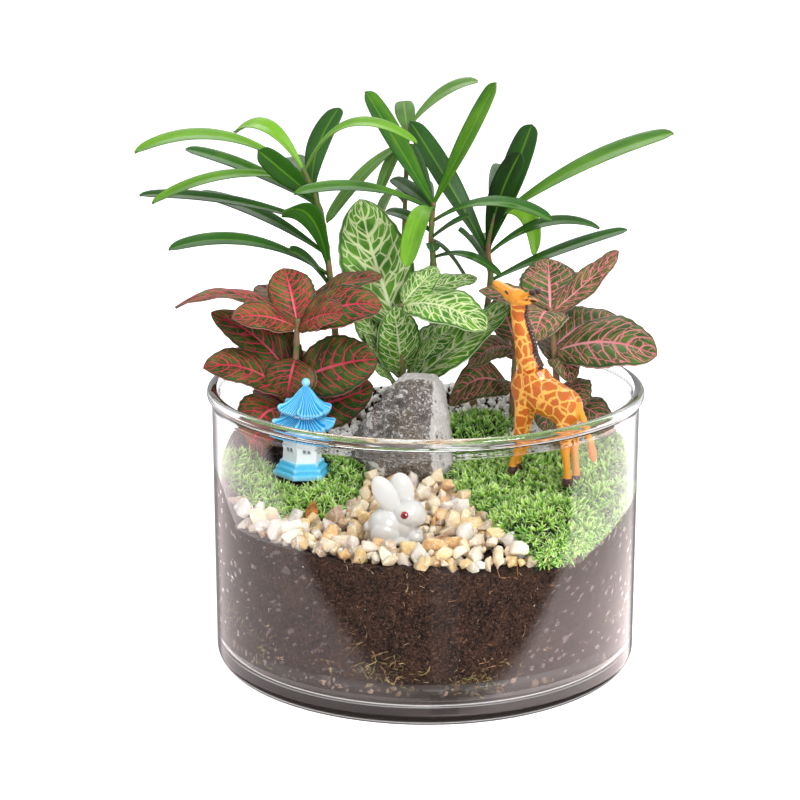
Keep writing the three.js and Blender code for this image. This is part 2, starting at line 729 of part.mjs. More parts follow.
// A blade from a base to a tip. Its middle stands off the straight line between them by the
// bend, and the fold lifts both halves from the midrib. It is thickest along the midrib.
function leafSolid(kind, base, { tip, bend, width, face = light }) {
  const start = new THREE.Vector3(...base);
  const end = new THREE.Vector3(...tip);
  const control = start.clone().lerp(end, 0.5).addScaledVector(new THREE.Vector3(...bend), 2);
  const curve = new THREE.QuadraticBezierCurve3(start, control, end);
  const facing = new THREE.Vector3(...face);
  const across = end.clone().sub(start).cross(facing).normalize();
  const columns = kind.columns(width);
  const upper = [];
  const lower = [];
  for (const t of kind.rows) {
    const middle = curve.getPoint(t);
    const along = curve.getTangent(t).normalize();
    const normal = new THREE.Vector3().crossVectors(across, along).normalize();
    const half = (width / 2) * kind.outline(t);
    const row = [];
    for (let j = 0; j <= columns; j++) {
      const side = (2 * j) / columns - 1;
      const shape = kind.fold * Math.abs(side) - kind.curl * side * side;
      const ripple = kind.wave * Math.sin(17 * t + 2 * side) * side * side;
      const point = middle
        .clone()
        .addScaledVector(across, half * side)
        .addScaledVector(normal, half * shape + ripple);
      row.push(point);
    }
    upper.push(row.map((p) => p.toArray()));
    lower.push(
      row.map((p, j) => {
        const side = (2 * j) / columns - 1;
        return p.clone().addScaledVector(normal, -kind.thickness * (1 - side ** 2)).toArray();
      }),
    );
  }
  return slabSolid(upper, lower);
}

// The point of a stem at a height
function stemPoint(points, height) {
  const after = points.findIndex((p) => p[2] >= height);
  const upperIndex = after < 1 ? points.length - 1 : after;
  const [low, high] = [points[upperIndex - 1], points[upperIndex]];
  const share = (height - low[2]) / (high[2] - low[2]);
  return low.map((value, i) => value + (high[i] - value) * share);
}

function plant(name, { kind, tint, root, radius, stem, leaves }) {
  const [x, y] = root;
  const level = soilLevel(x, y);
  const points = [[x, y, level - stemHole.depth], [x, y, level + 3], ...stem];
  const radii = points.map((_, i) => radius * (1 - (0.45 * i) / points.length));
  const blades = leaves.map((leaf) => leafSolid(kind, stemPoint(points, leaf.at), leaf));
  addPiece(name, unite([rodSolid(points, radii), ...blades]), tint);
}

// Each leaf leaves its stem at a height (at) and ends at its tip
const plants = {
  strap_plant_left: {
    kind: strap,
    tint: "strapLeaf",
    root: [-37, 57],
    radius: 1.9,
    stem: [[-38, 56, 110], [-41, 55, 150], [-45, 54, 178], [-52, 52, 197]],
    leaves: [
      { at: 193, tip: [-121, 30, 207], bend: [0, 0, 12], width: 8.5 },
      { at: 196, tip: [-82, 64, 211], bend: [0, 0, 10], width: 9 },
      { at: 184, tip: [-69, 26, 208], bend: [0, 0, 0], width: 10, face: [0, -1, 0.3] },
      { at: 181, tip: [-103, 62, 204], bend: [0, 0, 3], width: 8 },
      { at: 190, tip: [-115, 34, 185], bend: [0, 0, 8], width: 7 },
      { at: 172, tip: [-122, 50, 186], bend: [0, 0, 4], width: 7 },
      { at: 159, tip: [-100, 74, 183], bend: [0, 0, 4], width: 8 },
      { at: 150, tip: [-108, 30, 166], bend: [0, 0, 9], width: 9 },
      { at: 153, tip: [-59, 26, 182], bend: [2, 0, 10], width: 10, face: [0, -1, 0.3] },
      { at: 145, tip: [-58, 43, 163], bend: [0, 0, 3], width: 9 },
      { at: 196, tip: [-3, 36, 210], bend: [-4, 0, 14], width: 7 },
      { at: 186, tip: [-37, 76, 220], bend: [-4, 0, 0], width: 10 },
      { at: 176, tip: [-62, 100, 194], bend: [0, 0, 9], width: 8 },
      { at: 163, tip: [-54, 100, 170], bend: [0, 0, 8], width: 8 },
    ],
  },
  strap_plant_middle: {
    kind: strap,
    tint: "strapLeaf",
    root: [5, 62],
    radius: 1.9,
    stem: [[4, 61, 120], [4, 60, 154], [3, 60, 165], [4, 60, 181]],
    leaves: [
      { at: 180, tip: [-25, 58, 229], bend: [0, 0, 0], width: 11.5 },
      { at: 180, tip: [30, 56, 233], bend: [0, 0, 0], width: 9 },
      { at: 178, tip: [-8, 32, 158], bend: [0, 0, 9], width: 9.5 },
      { at: 178, tip: [-55, 34, 189], bend: [0, 0, 6], width: 8 },
      { at: 168, tip: [-17, 73, 175], bend: [0, 0, 2], width: 7 },
      { at: 173, tip: [54, 38, 177], bend: [0, 0, 8], width: 8 },
      { at: 166, tip: [19, 44, 178], bend: [0, 0, 1], width: 6 },
      { at: 162, tip: [4, 46, 162], bend: [0, 0, 2], width: 6 },
      { at: 165, tip: [20, 78, 143], bend: [0, 0, 3], width: 6 },
      { at: 157, tip: [33, 42, 152], bend: [0, 0, 5], width: 5 },
      { at: 178, tip: [-14, 76, 189], bend: [0, 0, 1], width: 8 },
      { at: 179, tip: [-6, 70, 205], bend: [0, 0, 1], width: 6 },
      { at: 170, tip: [-2, 112, 180], bend: [0, 0, 8], width: 8 },
    ],
  },
  strap_plant_right: {
    kind: strap,
    tint: "strapLeaf",
    root: [22, 62],
    radius: 1.9,
    stem: [[23, 62, 100], [29, 62, 144], [28, 62, 160], [31, 61, 176]],
    leaves: [
      { at: 158, tip: [-6, 76, 214], bend: [0, 4, 1], width: 12 },
      { at: 160, tip: [41, 56, 203], bend: [-2, 0, 1], width: 12 },
      { at: 162, tip: [47, 74, 213], bend: [0, 0, 1], width: 12 },
      { at: 173, tip: [105, 46, 213], bend: [0, 0, 6], width: 10 },
      { at: 174, tip: [50, 80, 154], bend: [4, 0, 11], width: 9, face: [0, -1, 0.2] },
      { at: 158, tip: [78, 76, 167], bend: [0, 0, 8], width: 7 },
      { at: 146, tip: [91, 84, 165], bend: [0, 0, 2], width: 7 },
      { at: 152, tip: [15, 50, 171], bend: [0, 0, 2], width: 6 },
      { at: 168, tip: [36, 112, 190], bend: [0, 0, 7], width: 8 },
      { at: 150, tip: [22, 100, 158], bend: [0, 0, 7], width: 8 },
    ],
  },
  strap_plant_back: {
    kind: strap,
    tint: "paleLeaf",
    root: [-9, 77],
    radius: 1.7,
    stem: [[-9, 78, 100], [-9, 84, 150], [-7, 86, 211]],
    leaves: [
      { at: 210, tip: [-9, 108, 218], bend: [0, 0, 4], width: 10 },
      { at: 210, tip: [24, 92, 230], bend: [0, 0, 5], width: 7 },
      { at: 204, tip: [-43, 72, 170], bend: [0, 0, 5], width: 7 },
      { at: 207, tip: [-20, 78, 182], bend: [0, 0, 3], width: 6 },
      { at: 192, tip: [-4, 118, 196], bend: [0, 0, 6], width: 8 },
      { at: 176, tip: [-20, 106, 166], bend: [0, 0, 9], width: 8 },
    ],
  },
  red_nerve_plant: {
    kind: nerve,
    tint: "redNerve",
    root: [-57, 34],
    radius: 2.1,
    stem: [[-57, 32, 95], [-55, 30, 119], [-54, 30, 136]],
    leaves: [
      { at: 134, tip: [-60, 44, 155], bend: [0, 0, 2], width: 21 },
      { at: 134, tip: [-106, 30, 141], bend: [0, 0, 9], width: 16, face: [0, -0.1, 1] },
      { at: 132, tip: [-80, 8, 141], bend: [0, 0, 3], width: 16, face: [0, -1, 1] },
      { at: 132, tip: [-34, 10, 143], bend: [0, 0, 2], width: 16, face: [0, -1, 1] },
      { at: 133, tip: [-18, 24, 143], bend: [0, 0, 4], width: 22, face: [0, -0.9, 1] },
      { at: 134, tip: [-18, 38, 153], bend: [0, 3, 5], width: 17, face: [0, -0.3, 1] },
      { at: 108, tip: [-91, 34, 138], bend: [3, 0, 3], width: 18, face: [0.3, -1, 0.6] },
      { at: 108, tip: [-69, 46, 133], bend: [0, 0, 1], width: 19 },
      { at: 101, tip: [-92, 4, 121], bend: [0, 0, 6], width: 20, face: [0, -0.9, 1] },
      { at: 104, tip: [-85, 30, 122], bend: [0, 0, 4], width: 12 },
      { at: 119, tip: [-59, 23, 101], bend: [0, -4, 2], width: 23, face: [0, -1, 0.3] },
      { at: 108, tip: [-20, 23, 120], bend: [0, -3, 3], width: 27, face: [0.1, -1, 0.6] },
      { at: 96, tip: [-22, 29, 107], bend: [0, 0, -2], width: 23, face: [0.1, -1, 0.4] },
      { at: 96, tip: [-72, 20, 79], bend: [-4, -3, 8], width: 20, face: [0.1, -1, 0.5] },
      { at: 94, tip: [-74, 36, 103], bend: [0, 0, 2], width: 12 },
      { at: 132, tip: [-72, 62, 144], bend: [0, 0, 3], width: 18 },
      { at: 104, tip: [-58, 54, 117], bend: [0, 0, 3], width: 20 },
    ],
  },
  white_nerve_plant: {
    kind: nerve,
    tint: "whiteNerve",
    root: [-8, 46],
    radius: 2.2,
    stem: [[-9, 44, 100], [-10, 43, 120], [-10, 42, 140]],
    leaves: [
      { at: 126, tip: [-28, 62, 182], bend: [-2, 7, 0], width: 33 },
      { at: 139, tip: [26, 18, 134], bend: [0, 0, 5], width: 25 },
      { at: 139, tip: [6, 50, 154], bend: [0, 0, 1], width: 15 },
      { at: 102, tip: [37, 40, 141], bend: [0, 0, 0], width: 22 },
      { at: 108, tip: [-13, 36, 140], bend: [0, 0, 0], width: 21 },
      { at: 104, tip: [6, 30, 129], bend: [0, 0, 1], width: 17 },
      { at: 108, tip: [-30, 46, 137], bend: [0, 0, 1], width: 18 },
      { at: 106, tip: [-26, 39, 127], bend: [0, 0, 1], width: 10 },
      { at: 100, tip: [-24, 30, 116], bend: [0, 0, 2], width: 12 },
      { at: 112, tip: [15, 52, 128], bend: [0, 0, 2], width: 18 },
      { at: 139, tip: [23, 52, 149], bend: [0, 0, 3], width: 13 },
      { at: 108, tip: [-22, 68, 118], bend: [0, 0, 3], width: 16 },
    ],
  },
  pink_nerve_plant: {
    kind: nerve,
    tint: "pinkNerve",
    root: [57, 30],
    radius: 2.1,
    stem: [[57, 29, 100], [56, 28, 113], [53, 28, 141]],
    leaves: [
      { at: 139, tip: [53, 45, 159], bend: [0, 0, 1], width: 26 },
      { at: 139, tip: [81, 26, 166], bend: [0, 0, -1], width: 15 },
      { at: 138, tip: [45, 8, 131], bend: [0, 0, 6], width: 22 },
      { at: 138, tip: [23, 36, 147], bend: [0, 0, 3], width: 14 },
      { at: 122, tip: [96, 5, 126], bend: [0, 0, 5], width: 30, face: [0, -0.8, 1] },
      { at: 124, tip: [84, 46, 133], bend: [0, 0, 4], width: 23 },
      { at: 118, tip: [62, 14, 112], bend: [0, 0, 5], width: 14 },
      { at: 106, tip: [67, 14, 101], bend: [0, 0, 4], width: 20 },
      { at: 96, tip: [79, 8, 92], bend: [0, 0, 6], width: 18 },
      { at: 98, tip: [50, 14, 91], bend: [0, 0, 4], width: 16 },
      { at: 137, tip: [68, 58, 150], bend: [0, 0, 3], width: 18 },
      { at: 116, tip: [62, 58, 122], bend: [0, 0, 4], width: 20 },
    ],
  },
  small_pink_nerve_plant: {
    kind: nerve,
    tint: "pinkNerve",
    root: [39, 51],
    radius: 1.7,
    stem: [[39, 52, 98], [40, 53, 121]],
    leaves: [
      { at: 98, tip: [11, 50, 93], bend: [0, 0, 9], width: 18, face: [0, -1, 0.6] },
      { at: 117, tip: [19, 48, 110], bend: [0, 0, 5], width: 16 },
      { at: 120, tip: [32, 50, 142], bend: [0, 0, 1], width: 16, face: [0, -1, 0.3] },
      { at: 100, tip: [37, 37, 103], bend: [0, 0, 3], width: 14 },
      { at: 119, tip: [54, 66, 131], bend: [0, 0, 3], width: 17 },
      { at: 112, tip: [36, 76, 118], bend: [0, 0, 4], width: 17 },
      { at: 96, tip: [55, 60, 102], bend: [0, 0, 3], width: 16 },
    ],
  },
};

// The garden, from the glass inwards and then upwards

const underSoil = underSurface(clearance);
const stemCutters = Object.values(plants).map((habit) => stemPrism(habit, sunk));
const seats = ornamentSeats();
const grownBoulder = boulderSolid(0.6);

glassBowl();
drainageStones();
soil(Object.values(plants), seats);
addPiece("boulder", boulderSolid(0).subtract(underSoil), "boulder");
gravelPath([underSoil, grownBoulder, ...seats]);
moss([underSoil, pathBlock(0.6), grownBoulder, ...seats, ...stemCutters]);
pagodaFigure();
rabbitFigure();
giraffeFigure();
dryLeaf();
for (const [name, habit] of Object.entries(plants)) plant(name, habit);

export default garden;
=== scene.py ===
import bpy
import bmesh
import math
import numpy as np
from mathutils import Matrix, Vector, noise
from mathutils.bvhtree import BVHTree


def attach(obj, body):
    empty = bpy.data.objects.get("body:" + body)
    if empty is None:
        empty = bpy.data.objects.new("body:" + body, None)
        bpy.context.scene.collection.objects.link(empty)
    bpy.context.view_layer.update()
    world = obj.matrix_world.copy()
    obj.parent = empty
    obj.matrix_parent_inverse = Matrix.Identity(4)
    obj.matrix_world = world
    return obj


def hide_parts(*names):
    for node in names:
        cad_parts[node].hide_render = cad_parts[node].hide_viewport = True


# A planted glass bowl. Sizes below are millimetres, +Z is up, and the origin is the middle of the underside.
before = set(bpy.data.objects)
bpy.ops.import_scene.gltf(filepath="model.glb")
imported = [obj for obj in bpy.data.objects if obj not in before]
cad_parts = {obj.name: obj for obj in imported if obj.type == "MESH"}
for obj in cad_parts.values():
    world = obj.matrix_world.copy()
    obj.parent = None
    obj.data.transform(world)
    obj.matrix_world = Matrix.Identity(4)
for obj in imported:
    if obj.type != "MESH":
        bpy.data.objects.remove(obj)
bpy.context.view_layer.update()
mm = 0.001

bowl = {
    "wallRadius": 88, "rimRadius": 90, "height": 116, "baseThickness": 7, "footRound": 5, "cove": 3,
    "rimNeck": 2.6, "sides": 180,
}
innerRadius = 85.2  # the inside of the glass wall
fillRadius = 84.7  # what lies inside the glass ends here
pressed = 85.27  # and here where it is pressed flat on the glass

# The soil's height in the middle and its rise per millimetre, then how far it is banked up at the glass,
# by degrees to the right of the front
soilSlope = {"middle": 70, "back": 0.1, "right": 0.06, "behind": 0.17}
soilBank = {
    "start": 70, "turns": (-180, -150, -108, -75, -69, -60, -39, -7, 12, 25, 44, 62, 75, 180),
    "rises": (0, 3, 18, 20, 16, 5, 6, 4, -1.5, -5, -8, -1.5, 0, 0),
}


def soilLevel(x, y):
    turn = np.degrees(np.arctan2(x, -np.asarray(y, float)))
    bank = np.interp(turn, soilBank["turns"], soilBank["rises"])
    share = np.maximum(0, (np.hypot(x, y) - soilBank["start"]) / (fillRadius - soilBank["start"]))
    rise = soilSlope["back"] * y + soilSlope["right"] * x + soilSlope["behind"] * np.maximum(0, y)
    return soilSlope["middle"] + rise + bank * share


def paint(red, green, blue):
    # A screen colour from 0 to 255, as the shader's own numbers
    shares = [part / 255 for part in (red, green, blue)]
    linear = [share / 12.92 if share <= 0.04 else ((share + 0.055) / 1.055) ** 2.4 for share in shares]
    return (*linear, 1)


# Shader maths

class Wire:
    # One socket of a material, which can stand in a sum
    def __init__(self, recipe, socket):
        self.recipe = recipe
        self.socket = socket

    def sum(self, operation, *values):
        return self.recipe.sum(operation, *values)

    def __add__(self, other):
        return self.sum("ADD", self, other)

    def __radd__(self, other):
        return self.sum("ADD", other, self)

    def __sub__(self, other):
        return self.sum("SUBTRACT", self, other)

    def __rsub__(self, other):
        return self.sum("SUBTRACT", other, self)

    def __mul__(self, other):
        return self.sum("MULTIPLY", self, other)

    def __pow__(self, other):
        return self.sum("POWER", self, other)

    def __abs__(self):
        return self.sum("ABSOLUTE", self)

    def fract(self):
        return self.sum("FRACT", self)

    def most(self, other):
        return self.sum("MAXIMUM", self, other)

    def least(self, other):
        return self.sum("MINIMUM", self, other)


class Recipe:
    # One material, or the sky, while it is being made
    def __init__(self, name, isSky=False):
        self.material = (bpy.data.worlds if isSky else bpy.data.materials).new(name)
        self.material.use_nodes = True
        self.tree = self.material.node_tree
        self.tree.nodes.clear()

    def node(self, kind, settings=None, values=None, out=0):
        # Any node, from its type, its settings, and what goes into its sockets
        made = self.tree.nodes.new("ShaderNode" + kind)
        for name, value in (settings or {}).items():
            if name == "stops":
                while len(made.color_ramp.elements) < len(value):
                    made.color_ramp.elements.new(0.5)
                for element, (position, colour) in zip(made.color_ramp.elements, value):
                    element.position = position
                    element.color = colour
            else:
                setattr(made, name, value)
        for name, value in (values or {}).items():
            if isinstance(value, Wire):
                self.tree.links.new(value.socket, made.inputs[name])
            else:
                made.inputs[name].default_value = value
        return Wire(self, made.outputs[out]) if len(made.outputs) else made

    def sum(self, operation, *values):
        return self.node("Math", {"operation": operation}, dict(enumerate(values)))

    def mix(self, factor, a, b, blend="MIX"):
        # A Mix node's colours go in at 6 and 7 and come out at 2
        return self.node("Mix", {"data_type": "RGBA", "blend_type": blend}, {0: factor, 6: a, 7: b}, out=2)

    def shade(self, colour, value):
        # A colour made lighter or darker by a number
        grey = self.node("CombineColor", None, {0: value, 1: value, 2: value})
        return self.mix(1.0, colour, grey, "MULTIPLY")

    def parts(self, vector):
        # The x, y and z of a vector
        made = self.node("SeparateXYZ", None, {0: vector}).socket.node
        return [Wire(self, socket) for socket in made.outputs]

    def joined(self, x, y, z):
        # A vector from three numbers
        return self.node("CombineXYZ", None, {0: x, 1: y, 2: z})

    def ramp(self, value, stops):
        return self.node("ValToRGB", {"stops": stops}, {0: value})

    def rise(self, value, low, high):
        # 0 below low, 1 above high, and smooth between
        return self.node("MapRange", {"interpolation_type": "SMOOTHSTEP"}, {"Value": value, 1: low, 2: high})

    def place(self, scale=1000.0, squeeze=(1, 1, 1)):
        # Where a point is on the object, in millimetres
        here = self.node("TexCoord", out="Object")
        factor = tuple(scale * part for part in squeeze)
        return self.node("VectorMath", {"operation": "MULTIPLY"}, {0: here, 1: factor})

    def noise(self, where, scale, detail=3.0, rough=0.55, out=0, twist=0.0):
        values = {"Vector": where, "Scale": scale, "Detail": detail, "Roughness": rough, "Distortion": twist}
        return self.node("TexNoise", None, values, out)

    def cells(self, where, scale, feature="F1", out="Distance", jitter=1.0):
        values = {"Vector": where, "Scale": scale, "Randomness": jitter}
        return self.node("TexVoronoi", {"feature": feature}, values, out)

    def layer(self, name, out="Fac"):
        # What the mesh holds at each point under a name
        return self.node("Attribute", {"attribute_name": name}, None, out)

    def bump(self, height, strength, distance):
        return self.node("Bump", None, {"Strength": strength, "Distance": distance * mm, "Height": height})

    def surface(self, values):
        shader = self.node("BsdfPrincipled", None, values)
        self.node("OutputMaterial", None, {"Surface": shader})
        return self.material


# Meshes

class Heap:
    # Gathers many small parts into one mesh, with the numbers that its material reads at each point
    def __init__(self):
        self.points, self.faces, self.finishes, self.layers, self.count = [], [], [], {}, 0

    def add(self, points, faces, finish=0, **layers):
        points = np.asarray(points, float).reshape(-1, 3)
        for group in faces if isinstance(faces, list) else [faces]:
            moved = np.asarray(group) + self.count
            self.faces.extend(moved.tolist())
            self.finishes.extend([finish] * len(moved))
        for name, value in layers.items():
            value = np.asarray(value, float)
            if name in ("tint", "blade") and value.ndim == 1:
                value = np.tile(value, (len(points), 1))
            elif value.ndim < 2:
                value = np.zeros(len(points)) + value
            self.layers.setdefault(name, []).append(value)
        self.points.append(points)
        self.count += len(points)

    def build(self, name, materials, node, slot, sharp=None):
        mesh = bpy.data.meshes.new(name)
        points = np.concatenate(self.points) * mm
        mesh.from_pydata(points.tolist(), [], self.faces)
        mesh.polygons.foreach_set("material_index", self.finishes)
        for finish in materials:
            mesh.materials.append(finish)
        for layer, values in self.layers.items():
            values = np.concatenate(values)
            if layer == "blade":
                corners = np.empty(len(mesh.loops), int)
                mesh.loops.foreach_get("vertex_index", corners)
                mesh.uv_layers.new(name="blade").data.foreach_set("uv", values[corners].ravel())
            elif values.ndim == 2:
                colours = np.ones((len(values), 4))
                colours[:, :3] = values[:, :3]
                mesh.attributes.new(layer, "FLOAT_COLOR", "POINT").data.foreach_set("color", colours.ravel())
            else:
                mesh.attributes.new(layer, "FLOAT", "POINT").data.foreach_set("value", values)
        mesh.validate()
        mesh.shade_smooth()
        if sharp:
            mesh.set_sharp_from_angle(angle=math.radians(sharp))
        thing = bpy.data.objects.new(name, mesh)
        bpy.context.scene.collection.objects.link(thing)
        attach(thing, "root")
        if node:
            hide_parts(node)
        print(name, "has", len(mesh.polygons), "faces")
        return thing


def pieceName(node):
    # The name of the piece that replaces a node: moss_left gives mossLeft
    first, *others = node.split("_")
    return first + "".join(word.title() for word in others)


def gridFaces(rows, columns, closed=False, start=0, flip=False):
    # Quads between rows of points; a closed grid joins its last column to its first
    i, j = np.meshgrid(np.arange(rows - 1), np.arange(columns if closed else columns - 1), indexing="ij")
    after = (j + 1) % columns
    near, far = i * columns, (i + 1) * columns
    quads = np.stack([near + j, near + after, far + after, far + j], -1).reshape(-1, 4) + start
    return quads[:, ::-1] if flip else quads


def unit(vectors):
    return vectors / np.maximum(np.linalg.norm(vectors, axis=-1, keepdims=True), 1e-9)


def uneven(points, size, octaves=3, seed=0):
    # Random but smooth values from about -1 to 1, with lumps of a size in millimetres
    shift = Vector((seed * 7.3, seed * 3.1, seed * 5.7))
    return np.array([noise.fractal(Vector(p) / size + shift, 0.7, 2.0, octaves) for p in points])


def tube(points, radii, sides=8, cap=True):
    # A round rod through points
    points = np.asarray(points, float)
    radii = np.zeros(len(points)) + radii
    along = unit(np.gradient(points, axis=0))
    helper = np.where(np.abs(along[:, 2:]) > 0.9, [[0.0, 1.0, 0.0]], [[0.0, 0.0, 1.0]])
    across = unit(np.cross(helper, along))
    upward = np.cross(along, across)
    turn = 2 * math.pi * np.arange(sides) / sides
    ring = across[:, None] * np.cos(turn)[:, None] + upward[:, None] * np.sin(turn)[:, None]
    skin = (points[:, None] + ring * radii[:, None, None]).reshape(-1, 3)
    quads = gridFaces(len(points), sides, closed=True)
    if not cap:
        return skin, quads
    last = (len(points) - 1) * sides
    ends = np.array([[len(skin), (k + 1) % sides, k] for k in range(sides)]
                    + [[len(skin) + 1, last + k, last + (k + 1) % sides] for k in range(sides)])
    return np.vstack([skin, points[:1], points[-1:]]), [quads, ends]


def smoothPath(points, count):
    # Points along a soft curve through a few given ones
    points = np.asarray(points, float)
    whole = np.vstack([2 * points[0] - points[1], points, 2 * points[-1] - points[-2]])
    spots = np.linspace(0, len(points) - 1 - 1e-6, count)
    i = spots.astype(int)
    t = (spots - i)[:, None]
    a, b, c, d = whole[i], whole[i + 1], whole[i + 2], whole[i + 3]
    square, cube = 2 * a - 5 * b + 4 * c - d, 3 * b - a - 3 * c + d
    return 0.5 * (2 * b + (c - a) * t + square * t ** 2 + cube * t ** 3)


def takeShape(shape):
    # The points and faces of a finished bmesh
    shape.verts.index_update()
    points = np.array([v.co[:] for v in shape.verts])
    faces = np.array([[v.index for v in f.verts] for f in shape.faces])
    shape.free()
    return points, faces


def roundBall(level):
    shape = bmesh.new()
    bmesh.ops.create_icosphere(shape, subdivisions=level, radius=1)
    return takeShape(shape)


balls = {level: roundBall(level) for level in (1, 2, 3, 4)}


def turnBy(points, tilt):
    # Turns by degrees about z, then y, then x; tilt lists them as x, y, z
    a, b, c = (math.radians(angle) for angle in tilt)
    aboutX = np.array([[1, 0, 0], [0, math.cos(a), -math.sin(a)], [0, math.sin(a), math.cos(a)]])
    aboutY = np.array([[math.cos(b), 0, math.sin(b)], [0, 1, 0], [-math.sin(b), 0, math.cos(b)]])
    aboutZ = np.array([[math.cos(c), -math.sin(c), 0], [math.sin(c), math.cos(c), 0], [0, 0, 1]])
    return points @ (aboutX @ aboutY @ aboutZ).T


def ball(centre, half, tilt=(0, 0, 0), level=4):
    points, faces = balls[level]
    return turnBy(points * np.array(half), tilt) + np.array(centre), faces


def chip(rng, crisp, level):
    # A stone: the soft meeting of flat faces round a middle
    points, faces = balls[level]
    normals = unit(rng.normal(size=(11, 3)))
    normals = np.vstack([normals, -normals[:4]])
    reach = rng.uniform(0.72, 1.0, len(normals))
    press = np.maximum(points @ normals.T, 0) / reach
    size = (press ** crisp).sum(axis=1) ** (-1 / crisp)
    return points * np.clip(size, 0.5, 1.35)[:, None], faces


def blendParts(parts, voxel, rounds):
    # One smooth skin over parts that run into each other
    rough = Heap()
    for points, faces in parts:
        rough.add(points, faces)
    mesh = bpy.data.meshes.new("rough")
    mesh.from_pydata((np.concatenate(rough.points) * mm).tolist(), [], rough.faces)
    form = bpy.data.objects.new("rough", mesh)
    bpy.context.scene.collection.objects.link(form)
    skin = form.modifiers.new("skin", "REMESH")
    skin.mode = "VOXEL"
    skin.voxel_size = voxel * mm
    soften = form.modifiers.new("soften", "SMOOTH")
    soften.iterations = rounds
    soften.factor = 0.5
    made = form.evaluated_get(bpy.context.evaluated_depsgraph_get()).to_mesh()
    points = np.empty(3 * len(made.vertices))
    made.vertices.foreach_get("co", points)
    faces = np.array([list(f.vertices) for f in made.polygons])
    bpy.data.objects.remove(form)
    return points.reshape(-1, 3) / mm, faces


# Glass bowl

# The colours that the wall and the foot let through, and how much the glass bends light
glassLook = {"clear": (0.985, 0.995, 0.99, 1), "foot": (0.8, 0.76, 0.74, 1), "bend": 1.48}


def glassMaterial():
    # Clear, but a little brown in the thick foot under the bowl's floor
    recipe = Recipe("clearGlass")
    up = recipe.parts(recipe.place())[2]
    colour = recipe.mix(recipe.rise(up, 6.2, 8.4), glassLook["foot"], glassLook["clear"])
    return recipe.surface({
        "Base Color": colour, "Roughness": 0.0, "Transmission Weight": 1.0, "IOR": glassLook["bend"],
    })


def lathe(profile, sides):
    # Turns a row of points, each a radius and a height, round the middle
    profile = np.asarray(profile, float)
    turn = 2 * math.pi * np.arange(sides) / sides
    x = profile[:, :1] * np.sin(turn)
    y = -profile[:, :1] * np.cos(turn)
    z = np.repeat(profile[:, 1:], sides, axis=1)
    return np.stack([x, y, z], -1).reshape(-1, 3), gridFaces(len(profile), sides, closed=True)


def arc(centre, radius, start, end, count):
    turn = np.radians(np.linspace(start, end, count))
    return np.stack([centre[0] + radius * np.cos(turn), centre[1] + radius * np.sin(turn)], -1)


def makeBowl():
    wall, rim, height = bowl["wallRadius"], bowl["rimRadius"], bowl["height"]
    base, foot, cove = bowl["baseThickness"], bowl["footRound"], bowl["cove"]
    beadMiddle, beadHalf = (rim + innerRadius) / 2, (rim - innerRadius) / 2
    neck = height - bowl["rimNeck"] * beadHalf
    profile = np.vstack([
        [[1.5, 0.9], [60, 0.9], [74, 0.5], [78, 0]],  # the underside is pressed in a little
        arc((wall - foot, foot), foot, -90, 0, 9),
        [[wall, z] for z in (foot + 1, foot + 2, 60, neck - 3, neck - 2)],
        [[wall + 0.1, neck]],
        arc((beadMiddle, height - beadHalf), beadHalf, -55, 235, 25),
        [[innerRadius, z] for z in (neck, neck - 1.5, neck - 3, 60, base + cove + 2, base + cove + 1)],
        arc((innerRadius - cove, base + cove), cove, 0, -90, 8),
        [[60, base], [1.5, base]],
    ])
    sides = bowl["sides"]
    points, faces = lathe(profile, sides)
    ring = np.arange(sides)
    caps = [ring[::-1][None], ((len(profile) - 1) * sides + ring)[None]]
    heap = Heap()
    heap.add(points, [faces, *caps])
    glass = heap.build("glassBowl", [glassMaterial()], "glass_bowl", "glass", sharp=50)
    glass.visible_shadow = False
    glass.visible_diffuse = False


# Soil and drainage

soilLook = {
    "floor": 17.6,  # the height at which it lies on the drainage stones
    "around": 420, "rows": 60, "rings": 56,  # how fine the soil's own mesh is
    "dark": paint(11, 8, 6), "brown": paint(60, 41, 33), "dry": paint(118, 88, 68),
    "chalk": paint(196, 186, 172), "perliteWhite": (1.0, 0.99, 0.97),
    "fibres": [paint(150, 98, 58), paint(176, 128, 84), paint(112, 78, 56), paint(192, 164, 126)],
    "paleSpecks": [paint(226, 222, 216), paint(168, 150, 132)],
    "darkSpecks": [paint(84, 62, 50), paint(44, 32, 26)],
    "crumbs": 1500, "perlite": 1700, "fibreCount": 760, "wallSpecks": 460,
}


def soilMaterial():
    recipe = Recipe("peatSoil")
    where = recipe.place()
    lumps = recipe.noise(where, 0.14, 5, 0.62)
    grain = recipe.noise(where, 0.8, 6, 0.85)
    dust = recipe.noise(where, 2.2, 4, 0.75)
    lit = recipe.rise(lumps * 0.12 + grain * 0.58 + dust * 0.3, 0.44, 0.55)
    colour = recipe.mix(lit, soilLook["dark"], soilLook["brown"])
    colour = recipe.mix(recipe.rise(grain * 0.45 + dust * 0.55, 0.53, 0.62) * 0.9, colour, soilLook["dry"])
    threads = recipe.noise(recipe.place(1000, (1, 1, 2.6)), 0.34, 3, 0.55, twist=2.8)
    line = 1 - recipe.rise(abs(threads - 0.5), 0.0, 0.007)
    colour = recipe.mix(line * recipe.rise(lumps, 0.46, 0.6) * 0.5, colour, soilLook["fibres"][0])
    dots = 1 - recipe.rise(recipe.cells(where, 0.3), 0.045, 0.075)
    colour = recipe.mix(dots * recipe.rise(grain, 0.53, 0.58) * 0.5, colour, soilLook["chalk"])
    return recipe.surface({
        "Base Color": colour, "Roughness": 0.75 + grain * 0.25, "Specular IOR Level": 0.2,
        "Normal": recipe.bump(grain + dust * 0.5, 0.55, 0.5),
    })


